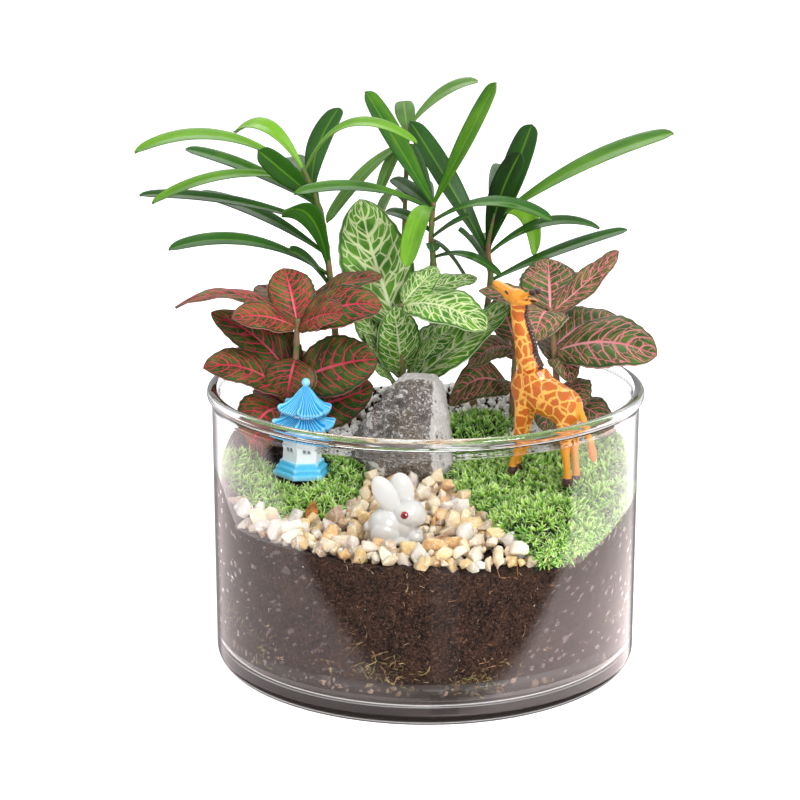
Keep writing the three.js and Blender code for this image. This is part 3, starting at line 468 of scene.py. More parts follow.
def speckMaterial(name, roughness, bumpy, clear=0.0):
    # Small bits, each with a colour of its own
    recipe = Recipe(name)
    where = recipe.place()
    mottle = recipe.noise(where, 0.9, 4, 0.6)
    colour = recipe.shade(recipe.layer("tint", "Color"), 0.72 + mottle * 0.56)
    return recipe.surface({
        "Base Color": colour, "Roughness": roughness + mottle * 0.2,
        "Normal": recipe.bump(mottle, bumpy, 0.5), "Coat Weight": clear,
    })


def pressFlat(points):
    # Nothing reaches through the glass wall
    wide = np.hypot(points[:, 0], points[:, 1])
    points[:, :2] *= np.minimum(1, pressed / wide)[:, None]
    return points


def tinted(rng, colours, spread=0.12):
    # One of a few colours, a little lighter or darker
    return np.array(colours[rng.integers(len(colours))][:3]) * rng.uniform(1 - spread, 1 + spread)


def addCrumb(heap, rng, size, place, tint):
    points, faces = chip(rng, 4, 1)
    heap.add(turnBy(points * size * [1, 0.8, 0.65], rng.uniform(0, 360, 3)) + place, faces, tint=tint)


def onWall(turn, radius):
    # The x and y of a place by its turn to the right of the front
    return radius * math.sin(turn), -radius * math.cos(turn)


def makeSoil():
    rng = np.random.default_rng(5)
    floor, around, rows, rings = (soilLook[name] for name in ("floor", "around", "rows", "rings"))
    turn = 2 * math.pi * np.arange(around) / around
    heap = Heap()
    # The side, pressed flat on the glass but for small gaps between the crumbs
    share = np.linspace(0, 1, rows)[:, None]
    x, y = pressed * np.sin(turn)[None], -pressed * np.cos(turn)[None]
    z = floor + (soilLevel(x, y) - floor) * share
    side = np.stack([x + 0 * z, y + 0 * z, z], -1).reshape(-1, 3)
    dents = np.clip(uneven(side, 2.4, 3) - 0.5, 0, 1) * 1.6
    side[:, :2] *= (1 - np.clip(dents, 0, 0.5) / pressed)[:, None]
    heap.add(side, gridFaces(rows, around, closed=True))
    # The top, lumpy where it is open to the air
    share = np.linspace(0, 1, rings)[:, None]
    radius = pressed * (1 - share ** 1.1) + 0.4 * share
    x, y = radius * np.sin(turn)[None], -radius * np.cos(turn)[None]
    top = np.stack([x, y, soilLevel(x, y)], -1).reshape(-1, 3)
    lift = uneven(top, 5, 3, 2) * 0.9 + 0.15
    lift[:around] = 0
    top[:, 2] += np.clip(lift, -0.8, 1.2)
    heap.add(top, gridFaces(rings, around, closed=True))
    bottom = side[:around] * [0.2, 0.2, 1]
    heap.add(np.vstack([side[:around], bottom]), gridFaces(2, around, closed=True, flip=True))
    heap.build("soilBed", [soilMaterial()], "soil", "soil")
    makeCrumbs(rng)
    makeFibres(rng)


def makeCrumbs(rng):
    crumbs, placed = Heap(), 0
    while placed < soilLook["crumbs"]:
        x, y = rng.uniform(-fillRadius, fillRadius, 2)
        size = rng.uniform(0.5, 1.5) ** 1.3
        if math.hypot(x, y) > fillRadius - size - 0.2 or onPath(x, y, -2) or hillAt(x, y) > 2:
            continue
        placed += 1
        tint = tinted(rng, soilLook["darkSpecks"])
        addCrumb(crumbs, rng, size, [x, y, soilLevel(x, y) + 0.5 + 0.3 * size], tint)
    # White perlite on the soil behind the rock
    placed = 0
    while placed < soilLook["perlite"]:
        x, y = rng.uniform(-50, 80), rng.uniform(22, fillRadius)
        size = rng.uniform(0.9, 2.4)
        if math.hypot(x, y) > fillRadius - size - 0.2 or hillAt(x, y) > 3:
            continue
        placed += 1
        z = soilLevel(x, y) + 0.9 + rng.uniform(0, 0.8)
        addCrumb(crumbs, rng, size, [x, y, z], soilLook["perliteWhite"])
    # Grains that show in the side of the soil
    for _ in range(soilLook["wallSpecks"]):
        turn, size = rng.uniform(0, 2 * math.pi), rng.uniform(0.12, 0.42) * rng.choice([1, 1, 1.8])
        x, y = onWall(turn, pressed - size * 0.4)
        z = rng.uniform(soilLook["floor"] + 1, soilLevel(x, y) - 1)
        tint = tinted(rng, soilLook["paleSpecks"] if rng.random() < 0.18 else soilLook["darkSpecks"])
        addCrumb(crumbs, rng, size, [x, y, z], tint)
    crumbs.build("soilCrumbs", [speckMaterial("soilBits", 0.6, 0.5)], None, "soil")


def makeFibres(rng):
    # Thin roots and coir threads that lie against the glass
    fibres, floor, count = Heap(), soilLook["floor"], 6
    for _ in range(soilLook["fibreCount"]):
        turn, z = rng.uniform(0, 2 * math.pi), floor + 2 + 48 * rng.random() ** 1.5
        heading, length = rng.normal(0, 0.9), rng.uniform(2, 10)
        spots = []
        for step in range(count):
            x, y = onWall(turn, pressed - 0.04 - 0.1 * abs(math.sin(step + turn * 9)))
            spots.append([x, y, z])
            heading += rng.normal(0, 0.35)
            turn += math.cos(heading) * length / (count - 1) / fillRadius
            z = max(z + math.sin(heading) * length / (count - 1), floor + 1)
            z = min(z, soilLevel(x, y) - 0.6)
        points, faces = tube(spots, np.linspace(1, 0.4, count) * rng.uniform(0.07, 0.19), 4, cap=False)
        fibres.add(points, faces, tint=tinted(rng, soilLook["fibres"], 0.25))
    fibres.build("soilFibres", [speckMaterial("coir", 0.7, 0.2)], None, "soil")


drainageLook = {
    "bed": paint(50, 38, 32), "count": 340,
    "stones": [
        paint(122, 92, 76), paint(146, 118, 98), paint(98, 82, 72), paint(168, 136, 118), paint(74, 60, 50),
    ],
    "bogMoss": [paint(132, 120, 60), paint(166, 146, 84), paint(96, 92, 44), paint(158, 120, 74)],
    "tufts": [  # turn, height, spread, strands
        (-68, 27, 4, 46), (-52, 24, 4, 30), (-12, 23, 6, 50), (14, 20, 6, 40), (64, 28, 5, 40),
        (118, 24, 7, 50), (-120, 24, 7, 50),
    ],
}


def makeDrainage():
    rng = np.random.default_rng(8)
    floor, top, bed = bowl["baseThickness"] - 0.06, soilLook["floor"] - 0.02, pressed - 0.05
    heap = Heap()
    profile = [[1, floor], [80, floor], [82.2, floor + 0.3], [84.0, floor + 2.4], [84.6, floor + 4.5],
               [bed, floor + 5.1], [bed, top], [1, top]]
    points, faces = lathe(profile, bowl["sides"])
    heap.add(points, faces, tint=drainageLook["bed"][:3])
    for k in range(drainageLook["count"]):
        turn, size = rng.uniform(0, 2 * math.pi), rng.uniform(1.2, 2.6) if k % 5 else rng.uniform(3.2, 5.4)
        z = rng.uniform(floor + 5.4, top - size * 0.3)
        points, faces = chip(rng, 5, 2)
        points = turnBy(points * size * [1, 0.9, 0.75], rng.uniform(0, 360, 3))
        points = points + [*onWall(turn, pressed - size * 0.62), z]
        points[:, 2] = np.maximum(points[:, 2], floor + 5.2)
        heap.add(pressFlat(points), faces, tint=tinted(rng, drainageLook["stones"], 0.25) * 0.62)
    # Strands of bog moss that show in places
    for degrees, high, spread, strands in drainageLook["tufts"]:
        for _ in range(strands):
            turn = math.radians(degrees + rng.normal(0, spread))
            z, heading = high + rng.normal(0, 3.4), rng.uniform(-0.7, 0.7)
            spots = []
            for _ in range(6):
                spots.append([*onWall(turn, pressed - 0.05 - rng.uniform(0, 0.3)), max(z, floor + 4)])
                heading += rng.normal(0, 0.5)
                turn += math.cos(heading) * 1.2 / fillRadius
                z += math.sin(heading) * 1.2
            points, faces = tube(spots, rng.uniform(0.14, 0.34), 4, cap=False)
            heap.add(points, faces, tint=tinted(rng, drainageLook["bogMoss"], 0.3) * 0.8)
    heap.build("drainageStones", [speckMaterial("wetStones", 0.35, 0.6, 0.3)], "drainage_stones", "stones")


# Gravel path

pathLook = {
    "edge": [(-77, -30), (-66, -27), (-53, -30), (-39, -33), (-32, -22), (-28, -8), (-25, 4), (6, 4),
             (13, -9), (19, -24), (22, -40), (26, -53), (34, -63), (42.5, -71.6)],
    "wallTurns": (-62, -68, -79, -90, -101, -112, -123, -134, -145, -153),  # its edge along the glass
    # height of the middles, least and most size, spacing, and how far a layer is darkened towards brown
    "layers": [(1.9, 3.0, 4.6, 0.64, 0.28), (5.1, 3.4, 5.5, 0.68, 0.0), (3.0, 1.5, 2.7, 0.78, 0.2)],
    "tries": 6500,  # places tried for each layer
    # the height at which a chip looks out for the rock, and how far it keeps from the pagoda and the rabbit
    "rockHeight": 74, "pagodaGap": 13, "rabbitGap": (11, 7.5),
    "colours": [
        paint(238, 214, 176), paint(240, 228, 210), paint(232, 202, 142), paint(242, 236, 228),
        paint(240, 218, 184), paint(230, 184, 124), paint(240, 224, 198), paint(190, 166, 144),
        paint(238, 208, 158), paint(222, 214, 208),
    ],
    "stain": paint(222, 172, 96), "pale": paint(252, 248, 240), "deep": paint(124, 84, 50), "shapes": 26,
}
glassTurns = [math.radians(degrees) for degrees in pathLook["wallTurns"]]
pathOutline = pathLook["edge"] + [
    ((fillRadius - 0.4) * math.cos(turn), (fillRadius - 0.4) * math.sin(turn)) for turn in glassTurns
]


def onPath(x, y, margin):
    # True inside the path's outline by more than a margin; a margin below 0 widens the path
    inside, nearest = False, 1e9
    for (ax, ay), (bx, by) in zip(pathOutline, pathOutline[1:] + pathOutline[:1]):
        if (ay > y) != (by > y) and x < (bx - ax) * (y - ay) / (by - ay) + ax:
            inside = not inside
        share = ((x - ax) * (bx - ax) + (y - ay) * (by - ay)) / ((bx - ax) ** 2 + (by - ay) ** 2)
        share = min(1, max(0, share))
        nearest = min(nearest, math.hypot(x - ax - share * (bx - ax), y - ay - share * (by - ay)))
    return (nearest if inside else -nearest) > margin


def gravelMaterial():
    recipe = Recipe("quartzGravel")
    where = recipe.place()
    cloud = recipe.noise(where, 0.2, 4, 0.6)
    veins = recipe.noise(where, 0.55, 5, 0.7, twist=1.4)
    colour = recipe.layer("tint", "Color")
    deep = recipe.layer("deep")
    colour = recipe.mix(recipe.rise(cloud, 0.52, 0.72) * 0.5, colour, pathLook["stain"])
    colour = recipe.mix(recipe.rise(veins, 0.5, 0.66) * 0.6, colour, pathLook["pale"])
    cracks = 1 - recipe.rise(abs(veins - 0.47), 0.0, 0.022)
    colour = recipe.mix(cracks * 0.3, colour, pathLook["stain"])
    colour = recipe.mix(deep, colour, pathLook["deep"])
    return recipe.surface({
        "Base Color": recipe.shade(colour, 0.86 + veins * 0.28), "Roughness": 0.16 + veins * 0.3,
        "Coat Weight": 0.25, "Subsurface Weight": 0.5, "Subsurface Radius": (0.003, 0.0022, 0.0012),
        "Subsurface Scale": 1.0, "Normal": recipe.bump(recipe.noise(where, 0.9, 5, 0.62), 0.4, 0.7),
    })


def stoneShapes(rng):
    # Broken quartz: the hulls of a few corners, spread evenly, with their edges worn
    shapes = []
    for _ in range(pathLook["shapes"]):
        corners = unit(rng.normal(size=(rng.integers(10, 15), 3)))
        for _ in range(12):
            apart = corners[:, None] - corners[None]
            near = np.exp(-(apart ** 2).sum(-1) * 5)[..., None]
            corners = unit(corners + 0.14 * (apart * near).sum(axis=1))
        shape = bmesh.new()
        for corner in corners * rng.uniform(0.82, 1.12, (len(corners), 1)):
            shape.verts.new(corner)
        bmesh.ops.convex_hull(shape, input=shape.verts)
        bmesh.ops.dissolve_limit(shape, angle_limit=math.radians(16), verts=shape.verts, edges=shape.edges)
        worn = shape.edges[:] + shape.verts[:]
        bmesh.ops.bevel(shape, geom=worn, offset=0.08, segments=2, profile=0.5, affect="EDGES")
        bmesh.ops.triangulate(shape, faces=shape.faces)
        shapes.append(takeShape(shape))
    return shapes


def chipFits(x, y, size, layer, spacing, onTop, boulder):
    # Keeps chips apart, inside the path, and off the rock, the pagoda and the rabbit
    if any(math.hypot(x - a, y - b) < spacing * (size + c) for a, b, c in layer):
        return False
    if not onPath(x, y, size * 0.5) or math.hypot(x, y) > pressed - size * 0.6:
        return False
    if inBoulder(boulder, x, y, pathLook["rockHeight"], -size * 0.7):
        return False
    if math.hypot(x - pagoda["spot"][0], y - pagoda["spot"][1]) < pathLook["pagodaGap"] + size:
        return False
    gapX, gapY = pathLook["rabbitGap"]
    fromRabbit = math.hypot((x - rabbit["spot"][0] - 1) / gapX, (y - rabbit["spot"][1] + 1) / gapY)
    return fromRabbit >= 1 + (size / 6.5 if onTop else 0)


def makeGravel():
    rng = np.random.default_rng(21)
    heap, shapes = Heap(), stoneShapes(rng)
    boulder, placed = boulderTree(), 0
    for middle, least, most, spacing, deep in pathLook["layers"]:
        layer = []
        for _ in range(pathLook["tries"]):
            size, (x, y) = rng.uniform(least, most), rng.uniform(-pressed, pressed, 2)
            if not chipFits(x, y, size, layer, spacing, middle > 3, boulder):
                continue
            layer.append((x, y, size))
            points, faces = shapes[rng.integers(len(shapes))]
            stretch = [rng.uniform(1, 1.36), rng.uniform(0.78, 1), rng.uniform(0.66, 0.88)]
            points = turnBy(points * size * stretch, rng.uniform(0, 360, 3))
            points = points + [x, y, soilLevel(x, y) + middle + rng.uniform(-0.6, 0.7)]
            points[:, 2] = np.maximum(points[:, 2], soilLevel(points[:, 0], points[:, 1]) + 0.1)
            tint = tinted(rng, pathLook["colours"], 0.07)
            heap.add(pressFlat(points), faces, tint=tint, deep=deep * rng.uniform(0.5, 1.2))
        placed += len(layer)
    print("chips in the path:", placed)
    heap.build("gravelPath", [gravelMaterial()], "gravel_path", "gravel", sharp=24)


# Moss cushions

mossLook = {
    "deep": paint(16, 34, 6), "leaf": paint(102, 174, 34), "bright": paint(178, 228, 82),
    "tip": paint(246, 252, 200),
    "spacing": 2.75, "blades": 17, "length": (3.1, 5.7), "width": 0.84,
    "pagodaGap": 13.4, "hoofGap": 2.6, "stemGap": 2.8,  # how far the shoots keep from what stands in them
    "upright": {"moss_back": 0.5},  # how much the shoots stand up, where they aren't spread like stars
    "dim": {"moss_back": 0.3},  # how bright a cushion is, where it isn't 1: the back cushion is darkened as painted shade
    "cushions": {  # centre, half sizes, height
        "moss_left": [((-66, -5), (20, 25), 8), ((-43, -13), (15, 18), 7), ((-38, 13), (17, 18), 8)],
        "moss_right_front": [((46, -53), (24, 23), 12)],
        "moss_right_back": [((38, 2), (30, 25), 8), ((67, -12), (19, 30), 9), ((78, 4), (15, 26), 12),
                            ((28, -26), (14, 14), 7)],
        "moss_back": [((22, 42), (17, 12), 7)],
    },
}


def hillOf(domes, x, y):
    # How high a cushion stands over the soil at a place; below 0 outside it
    best = -1.0
    for (cx, cy), (hx, hy), height in domes:
        share = math.hypot((x - cx) / hx, (y - cy) / hy)
        if share < 1:
            best = max(best, 1 + (height - 2) * (1 - share ** 3))
    return best


def hillAt(x, y):
    return max(hillOf(domes, x, y) for domes in mossLook["cushions"].values())


def onOther(taken, x, y, least=0):
    # True where a cushion that is already made stands
    return any(hillOf(domes, x, y) > least for domes in taken)


def creaseShadeAt(taken, x, y):
    # Painted shade: 0 in the dark crease beside another cushion, 1 away from it
    shares = [math.hypot((x - cx) / hx, (y - cy) / hy) for domes in taken for (cx, cy), (hx, hy), _ in domes]
    return float(np.clip((min(shares, default=2) - 1.04) / 0.24, 0, 1))


def mossMaterial():
    recipe = Recipe("cushionMoss")
    tip, tone = recipe.layer("tip"), recipe.layer("tone")
    cloud = recipe.noise(recipe.place(), 0.08, 3)
    leaf = recipe.mix(recipe.rise(tone * 0.6 + cloud * 0.4, 0.25, 0.7), mossLook["leaf"], mossLook["bright"])
    # Each blade fades down to the deep colour at its base, painted shade deep in the cushion; low tones keep
    # more of it
    colour = recipe.mix(recipe.rise(tip, 0.1, 0.64) * (tone + 0.7).least(1), mossLook["deep"], leaf)
    # Pale tips: partly the moss's own pale tips, partly painted highlight, since the tone they follow
    # carries painted light
    colour = recipe.mix(recipe.rise(tip, 0.5, 1.0) * (0.2 + tone * 1.3).least(1), colour, mossLook["tip"])
    return recipe.surface({
        "Base Color": colour, "Roughness": 0.5, "Specular IOR Level": 0.4, "Sheen Weight": 0.1,
    })


def mossFree(x, y, boulder):
    # Keeps cushions off the path, the rock, the stems and what stands in them
    if math.hypot(x, y) > fillRadius - 0.8 or onPath(x, y, -0.6):
        return False
    if inBoulder(boulder, x, y, soilLevel(x, y) + 4, 0.8):
        return False
    if math.hypot(x - pagoda["spot"][0], y - pagoda["spot"][1]) < mossLook["pagodaGap"]:
        return False
    if any(math.hypot(x - hx, y - hy) < mossLook["hoofGap"] for hx, hy in hoofSpots()):
        return False
    roots = [plant["root"] for plant in plants.values()]
    return all(math.hypot(x - rx, y - ry) > mossLook["stemGap"] for rx, ry in roots)


def mossSpots(rng, domes, taken, boulder):
    # Where a cushion's shoots stand, and how high it is there
    spots, step = [], mossLook["spacing"]
    for (cx, cy), (hx, hy), _ in domes:
        for gx in np.arange(cx - hx, cx + hx, step):
            for k, gy in enumerate(np.arange(cy - hy, cy + hy, step * 0.87)):
                x = gx + (step / 2 if k % 2 else 0) + rng.normal(0, 0.5)
                y = gy + rng.normal(0, 0.5)
                hill = hillOf(domes, x, y)
                if hill < 0 or onOther(taken, x, y) or not mossFree(x, y, boulder):
                    continue
                if any(abs(x - a) < 1.4 and abs(y - b) < 1.4 for a, b, _ in spots):
                    continue
                spots.append((x, y, hill))
    return spots


def makeMoss():
    finish, boulder = mossMaterial(), boulderTree()
    taken = []
    for number, (node, domes) in enumerate(mossLook["cushions"].items()):
        rng = np.random.default_rng(31 + number)
        heap = Heap()
        upright, dim = mossLook["upright"].get(node, 0.0), mossLook["dim"].get(node, 1.0)
        spots = mossSpots(rng, domes, taken, boulder)
        addCushionGround(heap, domes, taken, boulder)
        clumps = np.clip(uneven([(x, y, 0) for x, y, _ in spots], 4.2, 2, 9 + number) * 1.6, -1, 1)
        for (x, y, hill), clump in zip(spots, clumps):
            slopeX = hillOf(domes, x + 0.5, y) - hillOf(domes, x - 0.5, y)
            slopeY = hillOf(domes, x, y + 0.5) - hillOf(domes, x, y - 0.5)
            normal = unit(np.array([-np.clip(slopeX, -1.5, 1.5), -np.clip(slopeY, -1.5, 1.5), 1.1]))
            spot = np.array([x, y, soilLevel(x, y) + hill - 2.2 + 0.9 * clump])
            # Painted light and shade: tufts low on a dome, in the back cushion and in creases beside other
            # cushions are darker; clump is random tone
            bright = (0.5 + 0.5 * clump) * min(1, 0.3 + hill / 5) * dim * creaseShadeAt(taken, x, y)
            addTuft(heap, rng, spot, normal, upright, bright)
            addPathShoots(heap, rng, x, y, hill)
        addWallShoots(heap, rng, domes, taken)
        taken.append(domes)
        heap.build(pieceName(node), [finish], node, "moss")


def addPathShoots(heap, rng, x, y, hill):
    # Shoots down the side where the path cuts the cushion off
    ways = ((1, 0), (-1, 0), (0, 1), (0, -1))
    facing = [(a, b) for a, b in ways if onPath(x + 3.2 * a, y + 3.2 * b, -0.6)]
    for height in np.arange(0.6, hill - 2.4, 1.8) if facing else []:
        toward = unit(np.array([*np.sum(facing, axis=0), 0.9]))
        spot = np.array([x, y, soilLevel(x, y) + height]) + toward * [1.2, 1.2, 0]
        # Painted shade: the lower the shoot down the side, the darker
        addTuft(heap, rng, spot, toward, 0.0, rng.random() * (0.3 + 0.7 * height / hill))


def addWallShoots(heap, rng, domes, taken):
    # Shoots down the side that the glass holds back
    for turn in np.arange(-math.pi, math.pi, 0.026):
        outward = np.array([math.sin(turn), -math.cos(turn), 0.0])
        x, y = outward[:2] * (fillRadius - 2.2)
        hill = hillOf(domes, x, y)
        if hill < 0.8 or onOther(taken, x, y) or onPath(x, y, -0.3):
            continue
        for height in np.arange(0.4, hill - 0.6, 1.9):
            spot = np.array([x, y, soilLevel(x, y) + height + rng.uniform(-0.4, 0.4)])
            # Painted shade: the lower the shoot down the side, the darker
            bright = rng.random() * (0.2 + 0.7 * height / hill)
            addTuft(heap, rng, spot, unit(outward + [0, 0, 0.9]), 0.0, bright)


def addCushionGround(heap, domes, taken, boulder):
    # The body of a cushion under its blades, in the deep colour as painted shade
    rings, around = 14, 48
    for (cx, cy), (hx, hy), _ in domes:
        share = np.linspace(0.99, 0.02, rings)[:, None]
        turn = 2 * math.pi * np.arange(around) / around
        x, y = (cx + hx * share * np.cos(turn)).ravel(), (cy + hy * share * np.sin(turn)).ravel()
        reach = np.minimum(1, (fillRadius - 0.4) / np.hypot(x, y))
        x, y = x * reach, y * reach
        z = []
        for a, b in zip(x, y):
            free = mossFree(a, b, boulder) or math.hypot(a, b) > fillRadius - 2
            if onPath(a, b, -0.8) or onOther(taken, a, b, 0.5) or not free:
                z.append(soilLevel(a, b) + 0.1)
            else:
                z.append(soilLevel(a, b) + max(0.2, hillOf(domes, a, b) - 2.4))
        points = np.column_stack([x, y, z])
        points[:, 2] += np.clip(uneven(points, 2.2, 2), -0.5, 0.5) * 0.6
        heap.add(points, gridFaces(rings, around, closed=True), tip=0.05, tone=0.2)


def addTuft(heap, rng, spot, normal, upright, bright):
    # A star of narrow blades round a shoot; bright is 0 for a dark one and 1 for a pale one, and carries
    # painted light and shade
    count = mossLook["blades"]
    side = unit(np.cross(normal, [0.3, 0.9, 0.1]))
    other = np.cross(normal, side)
    lean = unit(normal + rng.normal(0, 0.26, 3))
    turn = rng.uniform(0, 2 * math.pi, count)
    rise = np.radians(rng.uniform(50 * upright, 78, count))
    out = side * np.cos(turn)[:, None] + other * np.sin(turn)[:, None]
    heading = unit(out * np.cos(rise)[:, None] + lean * np.sin(rise)[:, None])
    length = rng.uniform(*mossLook["length"], count)[:, None] * rng.uniform(0.8, 1.15)
    start = spot + lean * rng.uniform(0, 1.6, count)[:, None] + out * 0.15
    middle = start + heading * length * 0.5 + lean * 0.25
    end = start + heading * length + lean * rng.uniform(-0.7, 0.3, count)[:, None]
    across = unit(np.cross(heading, lean + rng.normal(0, 0.3, (count, 3)))) * mossLook["width"] / 2
    points = np.stack([start - across * 0.6, start + across * 0.6, middle - across, middle + across, end], 1)
    points = pressFlat(points.reshape(-1, 3))
    first = 5 * np.arange(count)[:, None]
    quads, tips = first + np.array([[0, 1, 3, 2]]), first + np.array([[2, 3, 4]])
    heap.add(points, [quads, tips], tip=np.tile([0.0, 0.0, 0.55, 0.55, 1.0], count),
             tone=np.repeat(bright * 0.5 + rng.uniform(0, 0.5, count), 5))


# Boulder

boulderLook = {
    "corners": [
        (-14, 14, 112), (-6, 10, 115), (4, 11, 113.5), (8, 22, 110), (4, 27, 112.5), (-8, 26, 113.5),
        (-11, 26, 110), (-19, 13, 103), (8.5, 13, 104), (9, 28, 101), (-17, 30, 98), (-31.5, 15, 88),
        (-29, 7, 84), (-12, 1, 93), (2, 0, 95), (11, 11, 88), (12, 27, 86), (0, 35, 89), (-23, 29, 86),
        (-32, 19, 78), (-18, 0, 77), (-6, -6, 82), (3, -5, 77), (11, 4, 80), (12, 19, 76), (5, 33, 76),
        (-18, 33, 76), (-17, 6, 66), (-1, 2, 66), (7, 14, 66), (0, 28, 66), (-18, 26, 66),
    ],
    "grey": paint(110, 103, 98), "pale": paint(216, 213, 211), "dark": paint(44, 39, 36),
    "brown": paint(104, 90, 76), "quartz": paint(232, 230, 226),
}


def boulderHull():
    shape = bmesh.new()
    for corner in boulderLook["corners"]:
        shape.verts.new(corner)
    bmesh.ops.convex_hull(shape, input=shape.verts)
    bmesh.ops.triangulate(shape, faces=shape.faces)
    return takeShape(shape)


def boulderTree():
    points, faces = boulderHull()
    return BVHTree.FromPolygons([Vector(p) for p in points], faces.tolist())


def inBoulder(tree, x, y, z, margin):
    # True within the rock, or nearer to it than a margin
    spot = Vector((x, y, z))
    near, normal, _, distance = tree.find_nearest(spot)
    inside = (spot - near).dot(normal) < 0
    return (-distance if inside else distance) < margin


def boulderMaterial():
    recipe = Recipe("roughRock")
    where = recipe.place()
    cloud = recipe.noise(where, 0.09, 6, 0.72)
    grain = recipe.noise(where, 0.5, 8, 0.86)
    fine = recipe.noise(where, 2.4, 5, 0.85)
    crystal = recipe.parts(recipe.cells(where, 1.3, out="Color"))[0]
    rightward, _, upward = recipe.parts(recipe.node("NewGeometry", out="Normal"))
    edge = recipe.node("NewGeometry", out="Pointiness")
    mottled = recipe.rise(cloud * 0.2 + grain * 0.4 + fine * 0.4, 0.41, 0.59)
    colour = recipe.mix(mottled * 0.85 + 0.15, boulderLook["dark"], boulderLook["grey"])
    earthy = recipe.rise(recipe.noise(where, 0.06, 3), 0.44, 0.6)
    colour = recipe.mix(earthy * 0.7, colour, boulderLook["brown"])
    chalky = recipe.rise(fine * 0.45 + grain * 0.4 + cloud * 0.15, 0.5, 0.6)
    colour = recipe.mix(chalky * 0.65, colour, boulderLook["pale"])
    colour = recipe.mix(recipe.rise(crystal, 0.86, 0.94) * 0.4, colour, boulderLook["quartz"])
    # Painted light: faces turned up and to the right are paler, as lit from there
    litFaces = recipe.rise(upward, 0.62, 0.9).most(recipe.rise(rightward, 0.36, 0.66))
    colour = recipe.mix(litFaces * (0.3 + fine * 0.9).least(0.95), colour, boulderLook["pale"])
    colour = recipe.mix((1 - recipe.rise(fine, 0.36, 0.5)) * 0.55, colour, boulderLook["dark"])
    patch = recipe.rise(recipe.noise(where, 0.12, 3, 0.6, twist=1.0), 0.6, 0.68)
    colour = recipe.mix(patch * 0.6, colour, boulderLook["quartz"])
    # Painted highlight: sharp edges turn pale
    colour = recipe.mix(recipe.rise(edge, 0.54, 0.61) * 0.8, colour, boulderLook["quartz"])
    height = cloud * 0.8 + fine * 0.4
    return recipe.surface({
        "Base Color": colour, "Roughness": 0.75 + grain * 0.2, "Normal": recipe.bump(height, 0.5, 0.6),
    })


def makeBoulder():
    points, faces = boulderHull()
    points, faces = blendParts([(points, faces)], 0.62, 1)
    middle = points.mean(axis=0)
    outward = unit(points - middle)
    # Broken faces: steps between flat pieces, then pits
    steps = np.round(uneven(points, 8, 2, 1) * 5) / 5 * 1.3 + uneven(points, 24, 2, 6) * 0.7
    pits = -np.abs(uneven(points, 5, 3, 3)) * 0.9 + uneven(points, 1.6, 3, 5) * 0.12
    points = points + outward * np.clip(steps * 0.55 + pits + 0.1, -2.4, 0.9)[:, None]
    points[:, 2] = np.maximum(points[:, 2], soilLevel(points[:, 0], points[:, 1]) - 1.5)
    heap = Heap()
    heap.add(points, faces)
    heap.build("roughBoulder", [boulderMaterial()], "boulder", "boulder", sharp=30)


# Pagoda

pagoda = {
    "spot": (-52.3, 9), "foot": 74, "turn": 16.7, "lean": 3.7,
    "blue": paint(50, 180, 232), "pale": paint(176, 228, 248), "deep": paint(16, 120, 186),
    "base": paint(86, 198, 242), "wall": paint(240, 247, 252), "window": paint(112, 122, 130),
    "frame": paint(214, 222, 228), "wallFace": 7.28, "windowHeight": 13,
    # distance from the middle and height, from the ground up
    "steps": [(0.1, 0), (12.3, 0), (12.4, 0.2), (12.4, 1.6), (12.2, 1.9), (11.4, 2.4), (11.3, 2.7),
              (11.3, 3.8), (11.1, 4.1), (9.9, 4.7), (9.8, 5.0), (9.6, 6.4), (9.4, 6.6), (0.1, 6.6)],
    "roofs": [(21.6, 29.4, 13.8, 1.9), (27.8, 38, 11.7, 1.8)],  # eave, top, radius, rise of the corners
    "frames": [(2.0, 0.1, 0.5), (1.5, 0.18, 1.0), (0.4, 0.24, 0.5)],  # half width, how far proud, tone
}


def pagodaPlace(points):
    turned = turnBy(np.asarray(points, float).reshape(-1, 3), (0, 0, pagoda["turn"]))
    return turnBy(turned, (0, pagoda["lean"], 0)) + np.array([*pagoda["spot"], pagoda["foot"]])


def hexReach(turn, soften=0.0):
    # Reach of a six-sided outline whose corners are at 0, 60, 120 degrees and so on
    off = (turn + math.pi / 6) % (math.pi / 3) - math.pi / 6
    corner = 1 - np.abs(off) / (math.pi / 6)
    straight = math.cos(math.pi / 6) / np.cos(math.pi / 6 - np.abs(off))
    return straight * (1 - soften * (1 - corner)), corner


def hexRing(turn, reach, radius, height):
    # One ring of points of a six-sided outline
    return np.column_stack([radius * reach * np.cos(turn), radius * reach * np.sin(turn), turn * 0 + height])


def hexLoft(heap, profile, finish, eaveShade=0.0):
    around = 72
    turn = 2 * math.pi * np.arange(around) / around
    reach, _ = hexReach(turn)
    points = np.vstack([hexRing(turn, reach, radius, height) for radius, height in profile])
    blade = np.column_stack([np.tile(turn, len(profile)), points[:, 2] / 40])
    faces = gridFaces(len(profile), around, closed=True)
    heap.add(pagodaPlace(points), faces, finish, blade=blade, paint=eaveShade)


